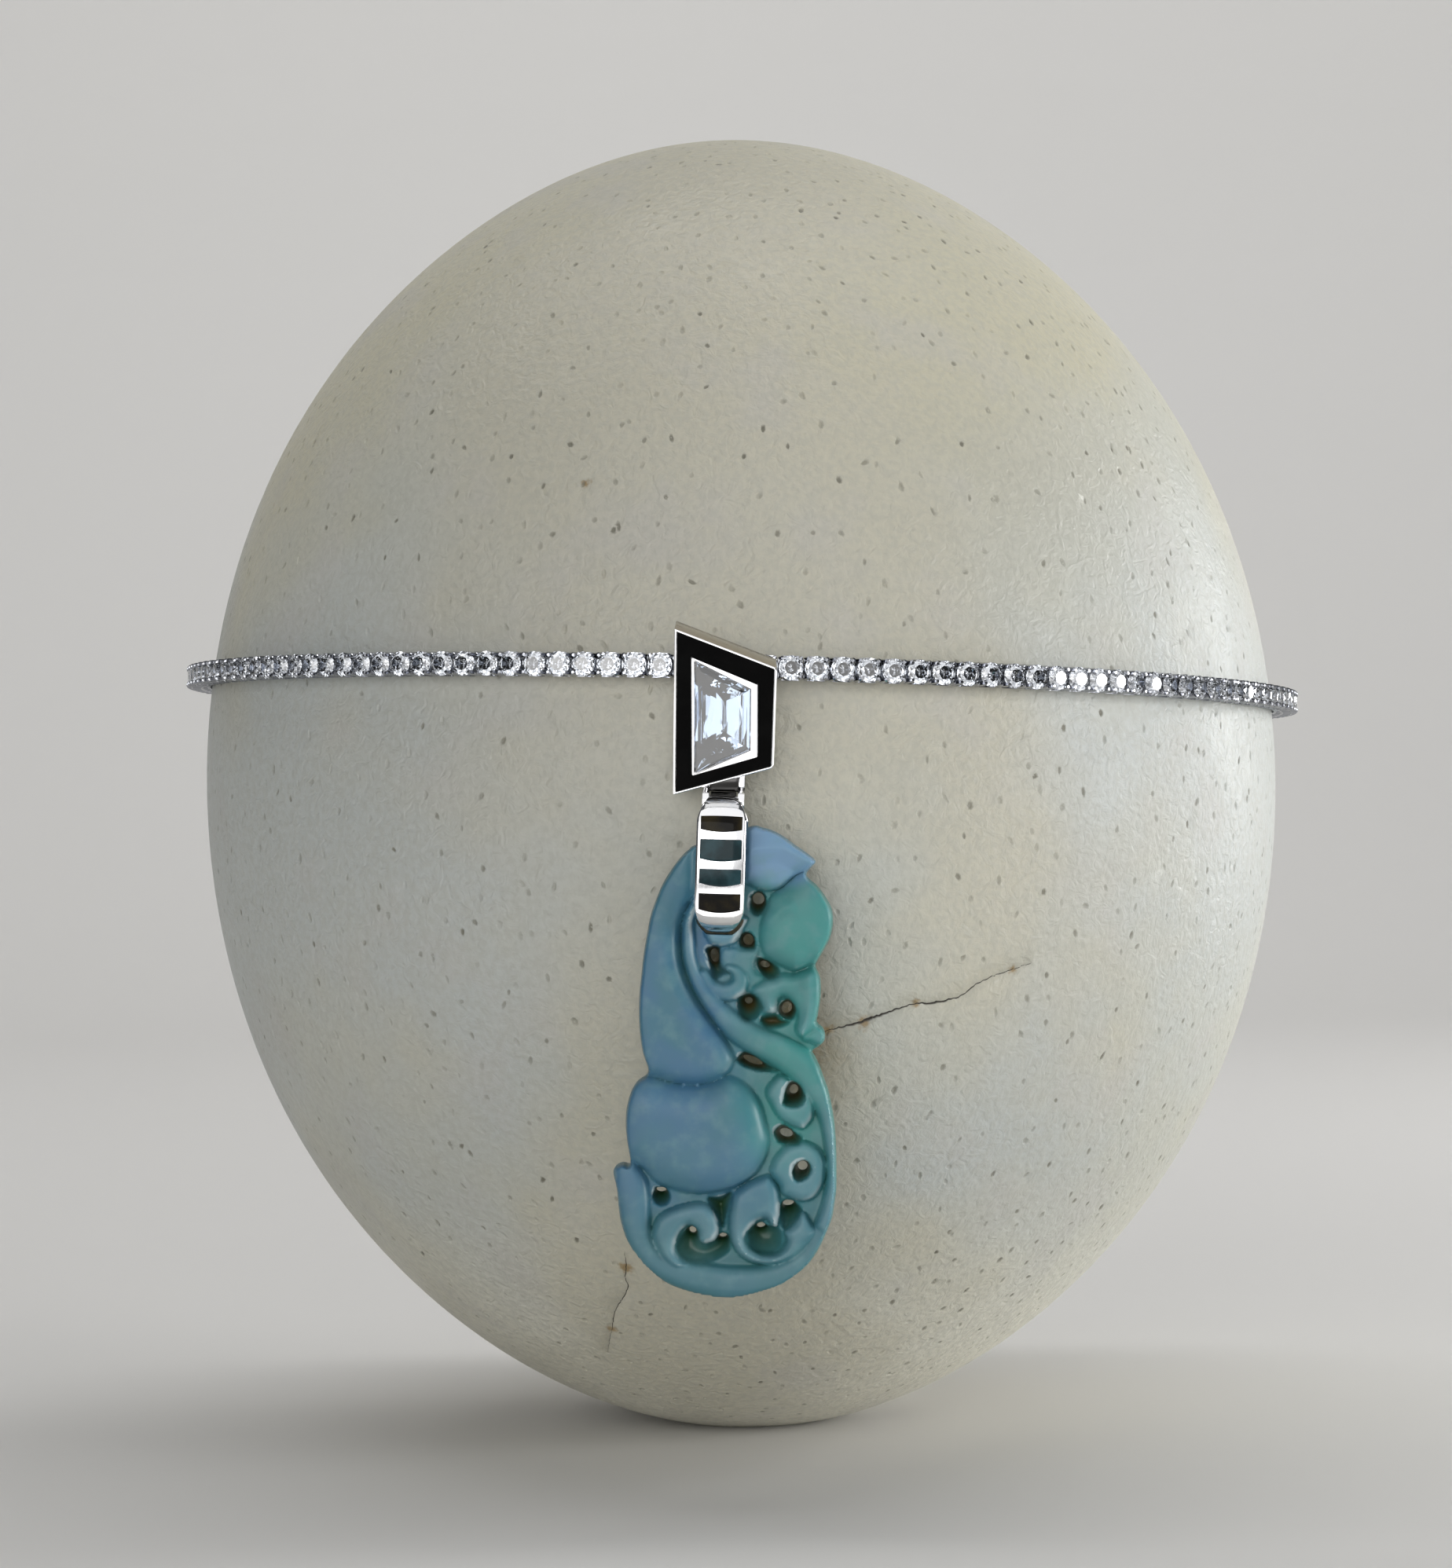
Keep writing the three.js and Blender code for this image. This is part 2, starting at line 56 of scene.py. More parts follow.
# the jewel's own frame: x across, y away from the viewer, z up, 0 just above the hinge pin
jewel = {
    "hingeDrop": 1.2,   # pin below the jewel's zero height, mm
}
jewelAcross = -Vector(joint["axis"]).normalized()
jewelAway = Vector((0, 1, 0))
jewelUp = jewelAcross.cross(jewelAway)
jewelZero = Vector(joint["pos_m"]) + jewelUp * jewel["hingeDrop"] * mm
jewelMatrix = Matrix((
    (jewelAcross.x, jewelAway.x, jewelUp.x, jewelZero.x),
    (jewelAcross.y, jewelAway.y, jewelUp.y, jewelZero.y),
    (jewelAcross.z, jewelAway.z, jewelUp.z, jewelZero.z),
    (0, 0, 0, 1),
))


# small helpers for meshes
def makePiece(name, vertices, faces, smooth=True):
    mesh = bpy.data.meshes.new(name)
    mesh.from_pydata([tuple(v) for v in vertices], [], [tuple(f) for f in faces])
    mesh.validate()
    if smooth:
        mesh.shade_smooth()
    piece = bpy.data.objects.new(name, mesh)
    scene.collection.objects.link(piece)
    return piece


def faceOutwards(piece):
    work = bmesh.new()
    work.from_mesh(piece.data)
    bmesh.ops.recalc_face_normals(work, faces=work.faces)
    work.to_mesh(piece.data)
    work.free()


def placeInJewel(piece):
    piece.data.transform(Matrix.Diagonal((mm, mm, mm, 1)))
    piece.data.transform(jewelMatrix)
    piece.data.update()


def joinPieces(name, pieces):
    work = bmesh.new()
    for piece in pieces:
        work.from_mesh(piece.data)
    mesh = bpy.data.meshes.new(name)
    work.to_mesh(mesh)
    work.free()
    for piece in pieces:
        bpy.data.objects.remove(piece)
    joined = bpy.data.objects.new(name, mesh)
    scene.collection.objects.link(joined)
    return joined


def bakeModifiers(piece):
    graph = bpy.context.evaluated_depsgraph_get()
    mesh = bpy.data.meshes.new_from_object(piece.evaluated_get(graph))
    piece.modifiers.clear()
    piece.data = mesh
    return piece


def softenEdges(piece, width, segments=2, angle=30):
    bevel = piece.modifiers.new("softEdge", "BEVEL")
    bevel.width = width
    bevel.segments = segments
    bevel.limit_method = "ANGLE"
    bevel.angle_limit = math.radians(angle)
    bevel.use_clamp_overlap = True
    bakeModifiers(piece)


def keepCreases(piece, angle=30):
    piece.data.shade_smooth()
    piece.data.set_sharp_from_angle(angle=math.radians(angle))


def finishPiece(piece, material, body, slot, *nodes):
    piece.data.materials.clear()
    piece.data.materials.append(material)
    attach(piece, body)
    if nodes:
        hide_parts(*nodes)
    print("made", piece.name, len(piece.data.polygons), "faces")


# a smooth closed or open run of points through a few chosen ones
def smoothRun(points, steps, closed):
    points = np.asarray(points, float)
    count = len(points)
    spans = count if closed else count - 1
    run = []
    for span in range(spans):
        around = np.arange(span - 1, span + 3)
        around = around % count if closed else np.clip(around, 0, count - 1)
        p0, p1, p2, p3 = points[around]
        for step in range(steps):
            t = step / steps
            run.append(0.5 * (2 * p1 + (p2 - p0) * t + (2 * p0 - 5 * p1 + 4 * p2 - p3) * t ** 2
                              + (3 * p1 - p0 - 3 * p2 + p3) * t ** 3))
    if not closed:
        run.append(points[-1])
    return np.array(run)


def distanceToRun(points, run, closed):
    starts = run if closed else run[:-1]
    ends = np.roll(run, -1, axis=0) if closed else run[1:]
    best = np.full(len(points), 1e9)
    along = np.zeros(len(points))
    for index, (a, b) in enumerate(zip(starts, ends)):
        edge = b - a
        share = np.clip(((points - a) @ edge) / max(edge @ edge, 1e-12), 0, 1)
        gap = np.hypot(*(points - a - share[:, None] * edge).T)
        nearer = gap < best
        best = np.where(nearer, gap, best)
        along = np.where(nearer, (index + share) / len(starts), along)
    return best, along


def insideRun(points, run):
    x, y = points[:, 0], points[:, 1]
    inside = np.zeros(len(points), bool)
    for a, b in zip(run, np.roll(run, -1, axis=0)):
        crosses = (a[1] > y) != (b[1] > y)
        with np.errstate(divide="ignore", invalid="ignore"):
            reach = a[0] + (y - a[1]) * (b[0] - a[0]) / (b[1] - a[1])
        inside ^= crosses & (x < reach)
    return inside


# small helpers for materials
def newFinish(name, **values):
    material = bpy.data.materials.new(name)
    material.use_nodes = True
    tree = material.node_tree
    shader = next(n for n in tree.nodes if n.type == "BSDF_PRINCIPLED")
    for socket, value in values.items():
        shader.inputs[socket].default_value = value
    return material, tree, shader


def addNode(tree, kind, inputs=None, **settings):
    node = tree.nodes.new(kind)
    for key, value in settings.items():
        setattr(node, key, value)
    for socket, value in (inputs or {}).items():
        if isinstance(value, bpy.types.NodeSocket):
            tree.links.new(value, node.inputs[socket])
        else:
            node.inputs[socket].default_value = value
    return node


def mixColour(tree, factor, first, second):
    node = tree.nodes.new("ShaderNodeMix")
    node.data_type = "RGBA"
    for index, value in ((0, factor), (6, first), (7, second)):
        if isinstance(value, bpy.types.NodeSocket):
            tree.links.new(value, node.inputs[index])
        else:
            node.inputs[index].default_value = value
    return node.outputs[2]


def spread(tree, value, low, high, outLow=0.0, outHigh=1.0):
    node = addNode(tree, "ShaderNodeMapRange", {"Value": value, "From Min": low, "From Max": high,
                                               "To Min": outLow, "To Max": outHigh},
                   interpolation_type="SMOOTHSTEP")
    return node.outputs["Result"]


def noiseAt(tree, place, scale, detail, **more):
    inputs = {"Vector": place, "Scale": scale, "Detail": detail, **more}
    return addNode(tree, "ShaderNodeTexNoise", inputs).outputs["Fac"]


def ownPlace(tree):
    return addNode(tree, "ShaderNodeTexCoord").outputs["Object"]


def ownValue(tree, name):
    return addNode(tree, "ShaderNodeAttribute", attribute_name=name).outputs["Fac"]


def math2(tree, operation, first, second=None, clamp=False):
    node = tree.nodes.new("ShaderNodeMath")
    node.operation = operation
    node.use_clamp = clamp
    for index, value in enumerate((first, second)):
        if value is None:
            continue
        if isinstance(value, bpy.types.NodeSocket):
            tree.links.new(value, node.inputs[index])
        else:
            node.inputs[index].default_value = value
    return node.outputs[0]


# a group for handled, polished surfaces: uneven gloss and hairline marks
def makePolishGroup():
    group = bpy.data.node_groups.new("polishMarks", "ShaderNodeTree")
    for name, value in (("Scale", 400.0), ("Dull", 0.2), ("Bright", 0.08)):
        socket = group.interface.new_socket(name, in_out="INPUT", socket_type="NodeSocketFloat")
        socket.default_value = value
    for name in ("Roughness", "Height"):
        group.interface.new_socket(name, in_out="OUTPUT", socket_type="NodeSocketFloat")
    entry = group.nodes.new("NodeGroupInput")
    leave = group.nodes.new("NodeGroupOutput")
    place = ownPlace(group)
    clouds = noiseAt(group, place, entry.outputs["Scale"], 4.0)
    hairScale = math2(group, "MULTIPLY", entry.outputs["Scale"], 6.0)
    stretch = addNode(group, "ShaderNodeMapping", {"Vector": place, "Scale": (1.0, 1.0, 0.12)})
    hairs = noiseAt(group, stretch.outputs[0], hairScale, 2.0)
    mixed = math2(group, "MULTIPLY", clouds, hairs)
    soft = spread(group, mixed, 0.1, 0.42)
    span = math2(group, "SUBTRACT", entry.outputs["Dull"], entry.outputs["Bright"])
    rough = math2(group, "ADD", math2(group, "MULTIPLY", soft, span), entry.outputs["Bright"])
    group.links.new(rough, leave.inputs["Roughness"])
    group.links.new(mixed, leave.inputs["Height"])
    return group


polishGroup = makePolishGroup()


def addPolish(tree, shader, scale, bright, dull, bump):
    marks = addNode(tree, "ShaderNodeGroup", node_tree=polishGroup)
    for name, value in (("Scale", scale), ("Bright", bright), ("Dull", dull)):
        marks.inputs[name].default_value = value
    tree.links.new(marks.outputs["Roughness"], shader.inputs["Roughness"])
    raised = addNode(tree, "ShaderNodeBump", {"Height": marks.outputs["Height"], "Strength": bump,
                                              "Distance": 2e-5})
    tree.links.new(raised.outputs["Normal"], shader.inputs["Normal"])


# egg: an egg of revolution, with its pores and cracks in the mesh
shell = {
    "footDepth": 0.9,           # how much of the tip is worn flat, mm
    "taper": 0.067,
    "meanRadius": 68.0,
    "evenPoints": 14000,
    "pores": 4600,
    "poreWander": 1.9,          # mm off an even spread
    "poreHalfLength": (0.36, 0.68),
    "poreHalfWidth": (0.26, 0.42),
    "poreDepth": (0.08, 0.17),
    "poreSides": 7,
    "poreSizes": (1.6, 2.4),    # shape of the spread of sizes
    "poreUneven": (0.8, 1.2),
    "poreFloor": 0.5,           # floor as a share of the pore's size
    "poreFloorDepth": 0.85,     # and of the depth at its middle
    "poreTint": (0.2, 1),
    "poreLean": 38,             # degrees either side of upright
    "poreGone": 0.42,           # share left out where the shell is smooth
    "smoothScale": 0.028,       # smooth places, as waves per mm
    "smoothShare": (0.55, 1.1),
    "footPoints": 96,
    "footClear": (0.09, 0.03),  # radians above the foot without pores, and without even points
    "crackStep": 0.3,
    "crackWander": 0.06,
    "crackUneven": (0.8, 1.2),
    "crackDepth": (0.06, 1.2),  # least, and more per mm of half width
    "crackClear": (0.75, 0.6),  # mm beside a crack without pores, and without even points
    "shadeBehindJadeMiddle": (2.5, 50.0),     # x and height of the painted shade behind the jade
    "shadeBehindJadeSpan": (10.5, 21.0),
    "seed": 11,
    # azimuth in degrees from the front, height in mm, half width in mm
    "cracks": [
        [(9.6, 48.7, 0.05), (12.2, 49.2, 0.18), (14.0, 49.7, 0.28), (16.3, 50.5, 0.18),
         (18.7, 51.2, 0.11), (20.8, 51.2, 0.21), (22.9, 51.6, 0.11), (24.0, 52.0, 0.11),
         (25.1, 52.9, 0.1), (27.4, 53.9, 0.08), (29.3, 54.4, 0.07), (31.5, 55.0, 0.04)],
        [(-15.6, 24.2, 0.05), (-16.0, 22.7, 0.09), (-16.7, 21.3, 0.07), (-16.6, 20.6, 0.09),
         (-17.2, 19.8, 0.08), (-18.6, 18.7, 0.08), (-20.5, 17.3, 0.07), (-22.0, 15.8, 0.09),
         (-22.8, 15.0, 0.05), (-27.1, 11.7, 0.03)],
    ],
    "stains": [(9.9, 48.8, 0.8), (18.9, 51.3, 0.6), (29.3, 54.4, 0.7), (-16.0, 22.7, 1.2),
               (-22.8, 15.0, 0.9), (-14.5, 106.3, 0.7), (13.5, 49.4, 1.1)],
}
eggLow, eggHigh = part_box("egg")
eggHalfWidth = (eggHigh.x - eggLow.x) / 2 / mm
eggHalfLength = (eggHigh.z / mm + shell["footDepth"]) / 2
eggMiddle = eggHalfLength - shell["footDepth"]


# the shell is drawn on a flat map (stereographic, from the foot), which keeps small shapes true
def onShell(flat, depth):
    angle = 2 * np.arctan(np.hypot(flat[:, 0], flat[:, 1]))
    turn = np.arctan2(flat[:, 0], -flat[:, 1])
    radius = eggHalfWidth * np.sin(angle) * (1 - shell["taper"] * np.cos(angle) ** 4)
    out = np.stack([np.sin(angle) * np.sin(turn) / eggHalfWidth,
                    -np.sin(angle) * np.cos(turn) / eggHalfWidth, np.cos(angle) / eggHalfLength], 1)
    out /= np.linalg.norm(out, axis=1)[:, None]
    place = np.stack([radius * np.sin(turn), -radius * np.cos(turn),
                      eggMiddle + eggHalfLength * np.cos(angle)], 1)
    return place - out * depth[:, None]


def onMap(azimuth, height):
    angle = np.arccos(np.clip((np.asarray(height) - eggMiddle) / eggHalfLength, -1, 1))
    turn = np.radians(azimuth)
    reach = np.tan(angle / 2)
    return np.stack([reach * np.sin(turn), -reach * np.cos(turn)], -1)


def mapScale(flat):
    return (1 + flat[:, 0] ** 2 + flat[:, 1] ** 2) / (2 * shell["meanRadius"])


def evenMap(count, footAngle):
    index = np.arange(count) + 0.5
    lowest = math.cos(footAngle)
    angle = np.arccos(1 - (1 - lowest) * index / count)
    turn = index * math.pi * (3 - math.sqrt(5))
    reach = np.tan(angle / 2)
    return np.stack([reach * np.sin(turn), -reach * np.cos(turn)], 1)


def clearOfCracks(flat, crackMiddles, gap):
    clear = np.ones(len(flat), bool)
    for middle in crackMiddles:
        near, _ = distanceToRun(flat, middle, False)
        clear &= near > gap * mapScale(flat)
    return clear


# a layer of points is their places on the map, depth, pore tint and crack mark
def plainLayer(flat):
    zero = np.zeros(len(flat))
    return flat, zero, zero, zero


# cracks: a sunk line between two edges
def crackLayers(dice):
    layers = []
    crackMiddles = []
    least, deeper = shell["crackDepth"]
    for route in shell["cracks"]:
        route = np.array(route)
        run = smoothRun(np.column_stack([onMap(route[:, 0], route[:, 1]), route[:, 2]]), 12, False)
        lengths = np.hypot(*np.diff(run[:, :2], axis=0).T) / mapScale(run[:-1, :2])
        travelled = np.concatenate([[0], np.cumsum(lengths)])
        stops = np.arange(0, travelled[-1], shell["crackStep"])
        trace = np.stack([np.interp(stops, travelled, run[:, k]) for k in range(3)], 1)
        tangent = np.gradient(trace[:, :2], axis=0)
        tangent /= np.linalg.norm(tangent, axis=1)[:, None]
        side = np.stack([-tangent[:, 1], tangent[:, 0]], 1)
        scale = mapScale(trace[:, :2])[:, None]
        wander = dice.uniform(-shell["crackWander"], shell["crackWander"], (len(trace), 1))
        middle = trace[:, :2] + side * scale * wander
        half = trace[:, 2:3] * dice.uniform(*shell["crackUneven"], (len(trace), 1))
        zero = np.zeros(len(trace))
        layers.append((middle, least + deeper * half[:, 0], zero, zero + 1))
        layers.append(plainLayer(middle + side * scale * half))
        layers.append(plainLayer(middle - side * scale * half))
        crackMiddles.append(middle)
    return layers, crackMiddles


# where the pores lie, fewer where the shell is smooth
def poreSpots(dice, footAngle, crackMiddles):
    spots = evenMap(shell["pores"], footAngle - shell["footClear"][0])
    spots = spots + mapScale(spots)[:, None] * dice.uniform(-1, 1, spots.shape) * shell["poreWander"]
    place = onShell(spots, np.zeros(len(spots)))
    patchy = np.array([noise.noise(Vector(p) * shell["smoothScale"]) for p in place])
    mostly, more = shell["smoothShare"]
    keep = dice.random(len(spots)) > shell["poreGone"] * np.clip(mostly + more * patchy, 0, 1)
    return spots[keep & clearOfCracks(spots, crackMiddles, shell["crackClear"][0])]


# pores: a sunk middle, a ring on the surface and a ring on the floor
def poreLayers(dice, spots):
    count = len(spots)
    scale = mapScale(spots)[:, None, None]
    lean = np.radians(dice.normal(0, shell["poreLean"], count))
    size = dice.beta(*shell["poreSizes"], count)
    long = shell["poreHalfLength"][0] + np.ptp(shell["poreHalfLength"]) * size
    wide = shell["poreHalfWidth"][0] + np.ptp(shell["poreHalfWidth"]) * dice.random(count)
    deep = shell["poreDepth"][0] + np.ptp(shell["poreDepth"]) * size
    north = -spots / np.linalg.norm(spots, axis=1)[:, None]
    east = np.stack([north[:, 1], -north[:, 0]], 1)
    along = np.cos(lean)[:, None] * north + np.sin(lean)[:, None] * east
    across = np.stack([along[:, 1], -along[:, 0]], 1)
    sides = shell["poreSides"]
    step = np.arange(sides) * 2 * math.pi / sides
    reach = (np.cos(step)[None, :, None] * (long[:, None] * along)[:, None, :]
             + np.sin(step)[None, :, None] * (wide[:, None] * across)[:, None, :])
    reach = scale * reach * dice.uniform(*shell["poreUneven"], (count, sides, 1))
    tint = dice.uniform(*shell["poreTint"], count)
    rim = (spots[:, None, :] + reach).reshape(-1, 2)
    floor = (spots[:, None, :] + reach * shell["poreFloor"]).reshape(-1, 2)
    floorDepth = np.repeat(deep * shell["poreFloorDepth"], sides)
    return [(spots, deep, tint, np.zeros(count)), plainLayer(rim),
            (floor, floorDepth, np.repeat(tint, sides), np.zeros(len(floor)))]


def makeShell():
    dice = np.random.default_rng(shell["seed"])
    footAngle = math.acos(-eggMiddle / eggHalfLength)
    turn = np.linspace(0, 2 * math.pi, shell["footPoints"], endpoint=False)
    footRing = math.tan(footAngle / 2) * np.stack([np.sin(turn), -np.cos(turn)], 1)
    cracks, crackMiddles = crackLayers(dice)
    spots = poreSpots(dice, footAngle, crackMiddles)
    layers = [plainLayer(footRing)] + cracks
    ringStart = sum(len(layer[0]) for layer in layers) + len(spots)
    layers += poreLayers(dice, spots)
    # even points fill the rest
    fill = evenMap(shell["evenPoints"], footAngle - shell["footClear"][1])
    layers.append(plainLayer(fill[clearOfCracks(fill, crackMiddles, shell["crackClear"][1])]))

    flat, depth, pore, crack = (np.concatenate([layer[k] for layer in layers]) for k in range(4))
    found = delaunay_2d_cdt([Vector(p) for p in flat], [], [], 0, 1e-9)
    source = np.array([s[0] for s in found[3]])
    triangles = np.array(found[2])
    place = onShell(flat, depth)[source]
    # the foot is closed by a fan round its middle
    ringOrder = np.argsort(np.where(source < len(footRing), source, len(flat)))[:len(footRing)]
    tip = len(place)
    fan = [(int(a), int(b), tip) for a, b in zip(ringOrder, np.roll(ringOrder, -1))]
    place = np.vstack([place, [[0, 0, 0]]]) * mm
    piece = makePiece("eggshell", place, list(map(tuple, triangles)) + fan)
    for name, values in (("pore", pore[source]), ("crack", crack[source])):
        attribute = piece.data.attributes.new(name, "FLOAT", "POINT")
        attribute.data.foreach_set("value", np.append(values, 0.0))
    # the rim of each pore stays sharp
    sides = shell["poreSides"]
    owner = np.full(len(flat), -1)
    owner[ringStart:ringStart + sides * len(spots)] = np.repeat(np.arange(len(spots)), sides)
    owner = np.append(owner[source], -1)
    edges = np.zeros(len(piece.data.edges) * 2, int)
    piece.data.edges.foreach_get("vertices", edges)
    ends = owner[edges.reshape(-1, 2)]
    rim = (ends[:, 0] >= 0) & (ends[:, 0] == ends[:, 1])
    sharp = piece.data.attributes.new("sharp_edge", "BOOLEAN", "EDGE")
    sharp.data.foreach_set("value", rim)
    faceOutwards(piece)
    return piece


def makeStainGroup():
    group = bpy.data.node_groups.new("stainSpot", "ShaderNodeTree")
    group.interface.new_socket("Centre", in_out="INPUT", socket_type="NodeSocketVector")
    group.interface.new_socket("Radius", in_out="INPUT", socket_type="NodeSocketFloat")
    group.interface.new_socket("Mask", in_out="OUTPUT", socket_type="NodeSocketFloat")
    entry = group.nodes.new("NodeGroupInput")
    leave = group.nodes.new("NodeGroupOutput")
    place = ownPlace(group)
    ends = {0: place, 1: entry.outputs["Centre"]}
    gap = addNode(group, "ShaderNodeVectorMath", ends, operation="DISTANCE")
    share = math2(group, "DIVIDE", gap.outputs["Value"], entry.outputs["Radius"])
    ragged = noiseAt(group, place, 1800.0, 3.0)
    wander = math2(group, "MULTIPLY", math2(group, "SUBTRACT", ragged, 0.5), 1.6)
    uneven = math2(group, "ADD", share, wander)
    group.links.new(spread(group, uneven, 1.0, 0.1), leave.inputs["Mask"])
    return group


shellTints = {
    "grey": (0.555, 0.58, 0.555, 1),
    "warm": (0.60, 0.57, 0.435, 1),
    "foot": (0.86, 0.84, 0.73, 1),
    "warmNearJewel": (0.60, 0.57, 0.455, 1),
    # painted shade, brown, on the shell behind the jade
    "paintedShadeBehindJade": (0.21, 0.14, 0.045, 1),
    "patch": (0.565, 0.55, 0.52, 1),
    "grain": (0.46, 0.46, 0.40, 1),
    "stain": (0.33, 0.20, 0.055, 1),
    "pore": (0.20, 0.19, 0.145, 1),
    "crack": (0.022, 0.016, 0.011, 1),
}


shellZones = {              # where a tint begins and where it is full, in metres
    "wander": 0.12,
    "warmTop": (0.08, 0.135),
    "warmFoot": (0.055, 0.005),
    "paleFoot": (0.034, 0.002),
    "warmNearJewelMiddle": 0.004,
    "warmNearJewelSide": (0.042, 0.01),
    "warmNearJewelFront": (0.0, -0.03),
}


def makeShellFinish():
    material, tree, shader = newFinish("ivoryShell", **{"Specular IOR Level": 0.42})
    place = ownPlace(tree)
    across, away, height = addNode(tree, "ShaderNodeSeparateXYZ", {0: place}).outputs[:3]
    broad = noiseAt(tree, place, 26.0, 4.0)
    patch = noiseAt(tree, place, 95.0, 5.0)
    grain = noiseAt(tree, place, 1300.0, 3.0)
    # grey ivory in the middle, warmer towards the top and a little at the bottom
    wander = math2(tree, "MULTIPLY", math2(tree, "SUBTRACT", broad, 0.5), shellZones["wander"])
    level = math2(tree, "ADD", height, wander)
    warm = math2(tree, "MAXIMUM", spread(tree, level, *shellZones["warmTop"]),
                 spread(tree, level, *shellZones["warmFoot"], 0, 0.8))
    colour = mixColour(tree, warm, shellTints["grey"], shellTints["warm"])
    colour = mixColour(tree, spread(tree, height, *shellZones["paleFoot"]), colour, shellTints["foot"])
    # a warmer breadth round the jewel
    sideways = math2(tree, "ABSOLUTE", math2(tree, "SUBTRACT", across, shellZones["warmNearJewelMiddle"]))
    sideways = math2(tree, "ADD", sideways, wander)
    warmNearJewel = math2(tree, "MULTIPLY", spread(tree, sideways, *shellZones["warmNearJewelSide"]),
                    spread(tree, away, *shellZones["warmNearJewelFront"], 0, 0.85))
    colour = mixColour(tree, warmNearJewel, colour, shellTints["warmNearJewel"])
    # painted shade of the jade on the shell, brown, seen through its piercings
    middle, spanX, spanZ = shell["shadeBehindJadeMiddle"], *shell["shadeBehindJadeSpan"]
    fromMiddle = addNode(tree, "ShaderNodeCombineXYZ", {
        "X": math2(tree, "DIVIDE", math2(tree, "SUBTRACT", across, middle[0] * mm), spanX * mm),
        "Y": spread(tree, away, -0.03, 0.0, 0, 2),
        "Z": math2(tree, "DIVIDE", math2(tree, "SUBTRACT", height, middle[1] * mm), spanZ * mm)})
    reach = addNode(tree, "ShaderNodeVectorMath", {0: fromMiddle.outputs[0]},
                    operation="LENGTH").outputs["Value"]
    reach = math2(tree, "ADD", reach, math2(tree, "MULTIPLY", math2(tree, "SUBTRACT", patch, 0.5), 0.6))
    colour = mixColour(tree, spread(tree, reach, 1.1, 0.3, 0, 0.8), colour, shellTints["paintedShadeBehindJade"])
    colour = mixColour(tree, spread(tree, patch, 0.5, 0.72, 0, 0.4), colour, shellTints["patch"])
    colour = mixColour(tree, spread(tree, grain, 0.35, 0.68, 0.0, 0.35), colour, shellTints["grain"])
    stainGroup = makeStainGroup()
    stained = None
    for azimuth, stainHeight, radius in shell["stains"]:
        stainPlace = onShell(onMap([azimuth], [stainHeight]), np.zeros(1))[0] * mm
        spot = addNode(tree, "ShaderNodeGroup", node_tree=stainGroup)
        spot.inputs["Centre"].default_value = tuple(stainPlace)
        spot.inputs["Radius"].default_value = radius * mm
        mask = spot.outputs["Mask"]
        stained = mask if stained is None else math2(tree, "MAXIMUM", stained, mask)
    colour = mixColour(tree, math2(tree, "MULTIPLY", stained, 0.75), colour, shellTints["stain"])
    pore = ownValue(tree, "pore")
    poreTone = noiseAt(tree, place, 330.0, 1.0)
    pore = math2(tree, "MULTIPLY", pore, spread(tree, poreTone, 0.36, 0.64, 0.35, 1.0))
    colour = mixColour(tree, pore, colour, shellTints["pore"])
    crack = ownValue(tree, "crack")
    colour = mixColour(tree, spread(tree, crack, 0.1, 0.8), colour, shellTints["crack"])
    tree.links.new(colour, shader.inputs["Base Color"])
    tree.links.new(spread(tree, patch, 0.3, 0.7, 0.36, 0.5), shader.inputs["Roughness"])
    fibres = noiseAt(tree, place, 650.0, 5.0, Distortion=1.5)
    relief = math2(tree, "ADD", math2(tree, "MULTIPLY", grain, 0.5), fibres)
    bump = addNode(tree, "ShaderNodeBump", {"Height": relief, "Strength": 0.75, "Distance": 0.00026})
    tree.links.new(bump.outputs["Normal"], shader.inputs["Normal"])
    return material


eggshell = makeShell()
finishPiece(eggshell, makeShellFinish(), "dressed_egg", "eggshell", "egg")


# white metal, black stone and clear stone
paintedMetalShading = {             # painted shade and painted dark reflection by the hinge, in mm: behind, above, below
    "frame": (-66.2, 60.0, 76.6),
    "bail": (-80.0, 72.9, 90.0),
    "soft": 0.15,
    "reflectionAbove": 79.0,      # painted reflection of the shell, warm, on the frame's upper side from this height
}
metalTints = {           # deep and pale, or one tint
    "white": ((0.88, 0.88, 0.9, 1), (0.94, 0.935, 0.93, 1)),
    # the line's settings: the same white gold, darkened as painted shade
    "line": ((0.36, 0.37, 0.40, 1), (0.46, 0.47, 0.50, 1)),
    # painted shade and dark reflection in the hinge's recess
    "recessShade": (0.02, 0.018, 0.016, 1),
    # painted reflection of the warm shell on upward faces
    "paintedShellReflection": (0.36, 0.28, 0.18, 1),
}
onyxTints = {
    "border": ((0.0012, 0.0012, 0.0013, 1), (0.003, 0.003, 0.003, 1)),
    "brown": ((0.004, 0.003, 0.002, 1), (0.032, 0.024, 0.008, 1)),
    "teal": ((0.010, 0.030, 0.036, 1), (0.030, 0.080, 0.095, 1)),
}
clearStone = {
    "index": 2.42,          # how strongly it bends light
    # the line's clear stones, tinted grey as painted shade
    "line": (0.62, 0.65, 0.70, 1),
    "centre": (0.62, 0.77, 1.0, 1),
}


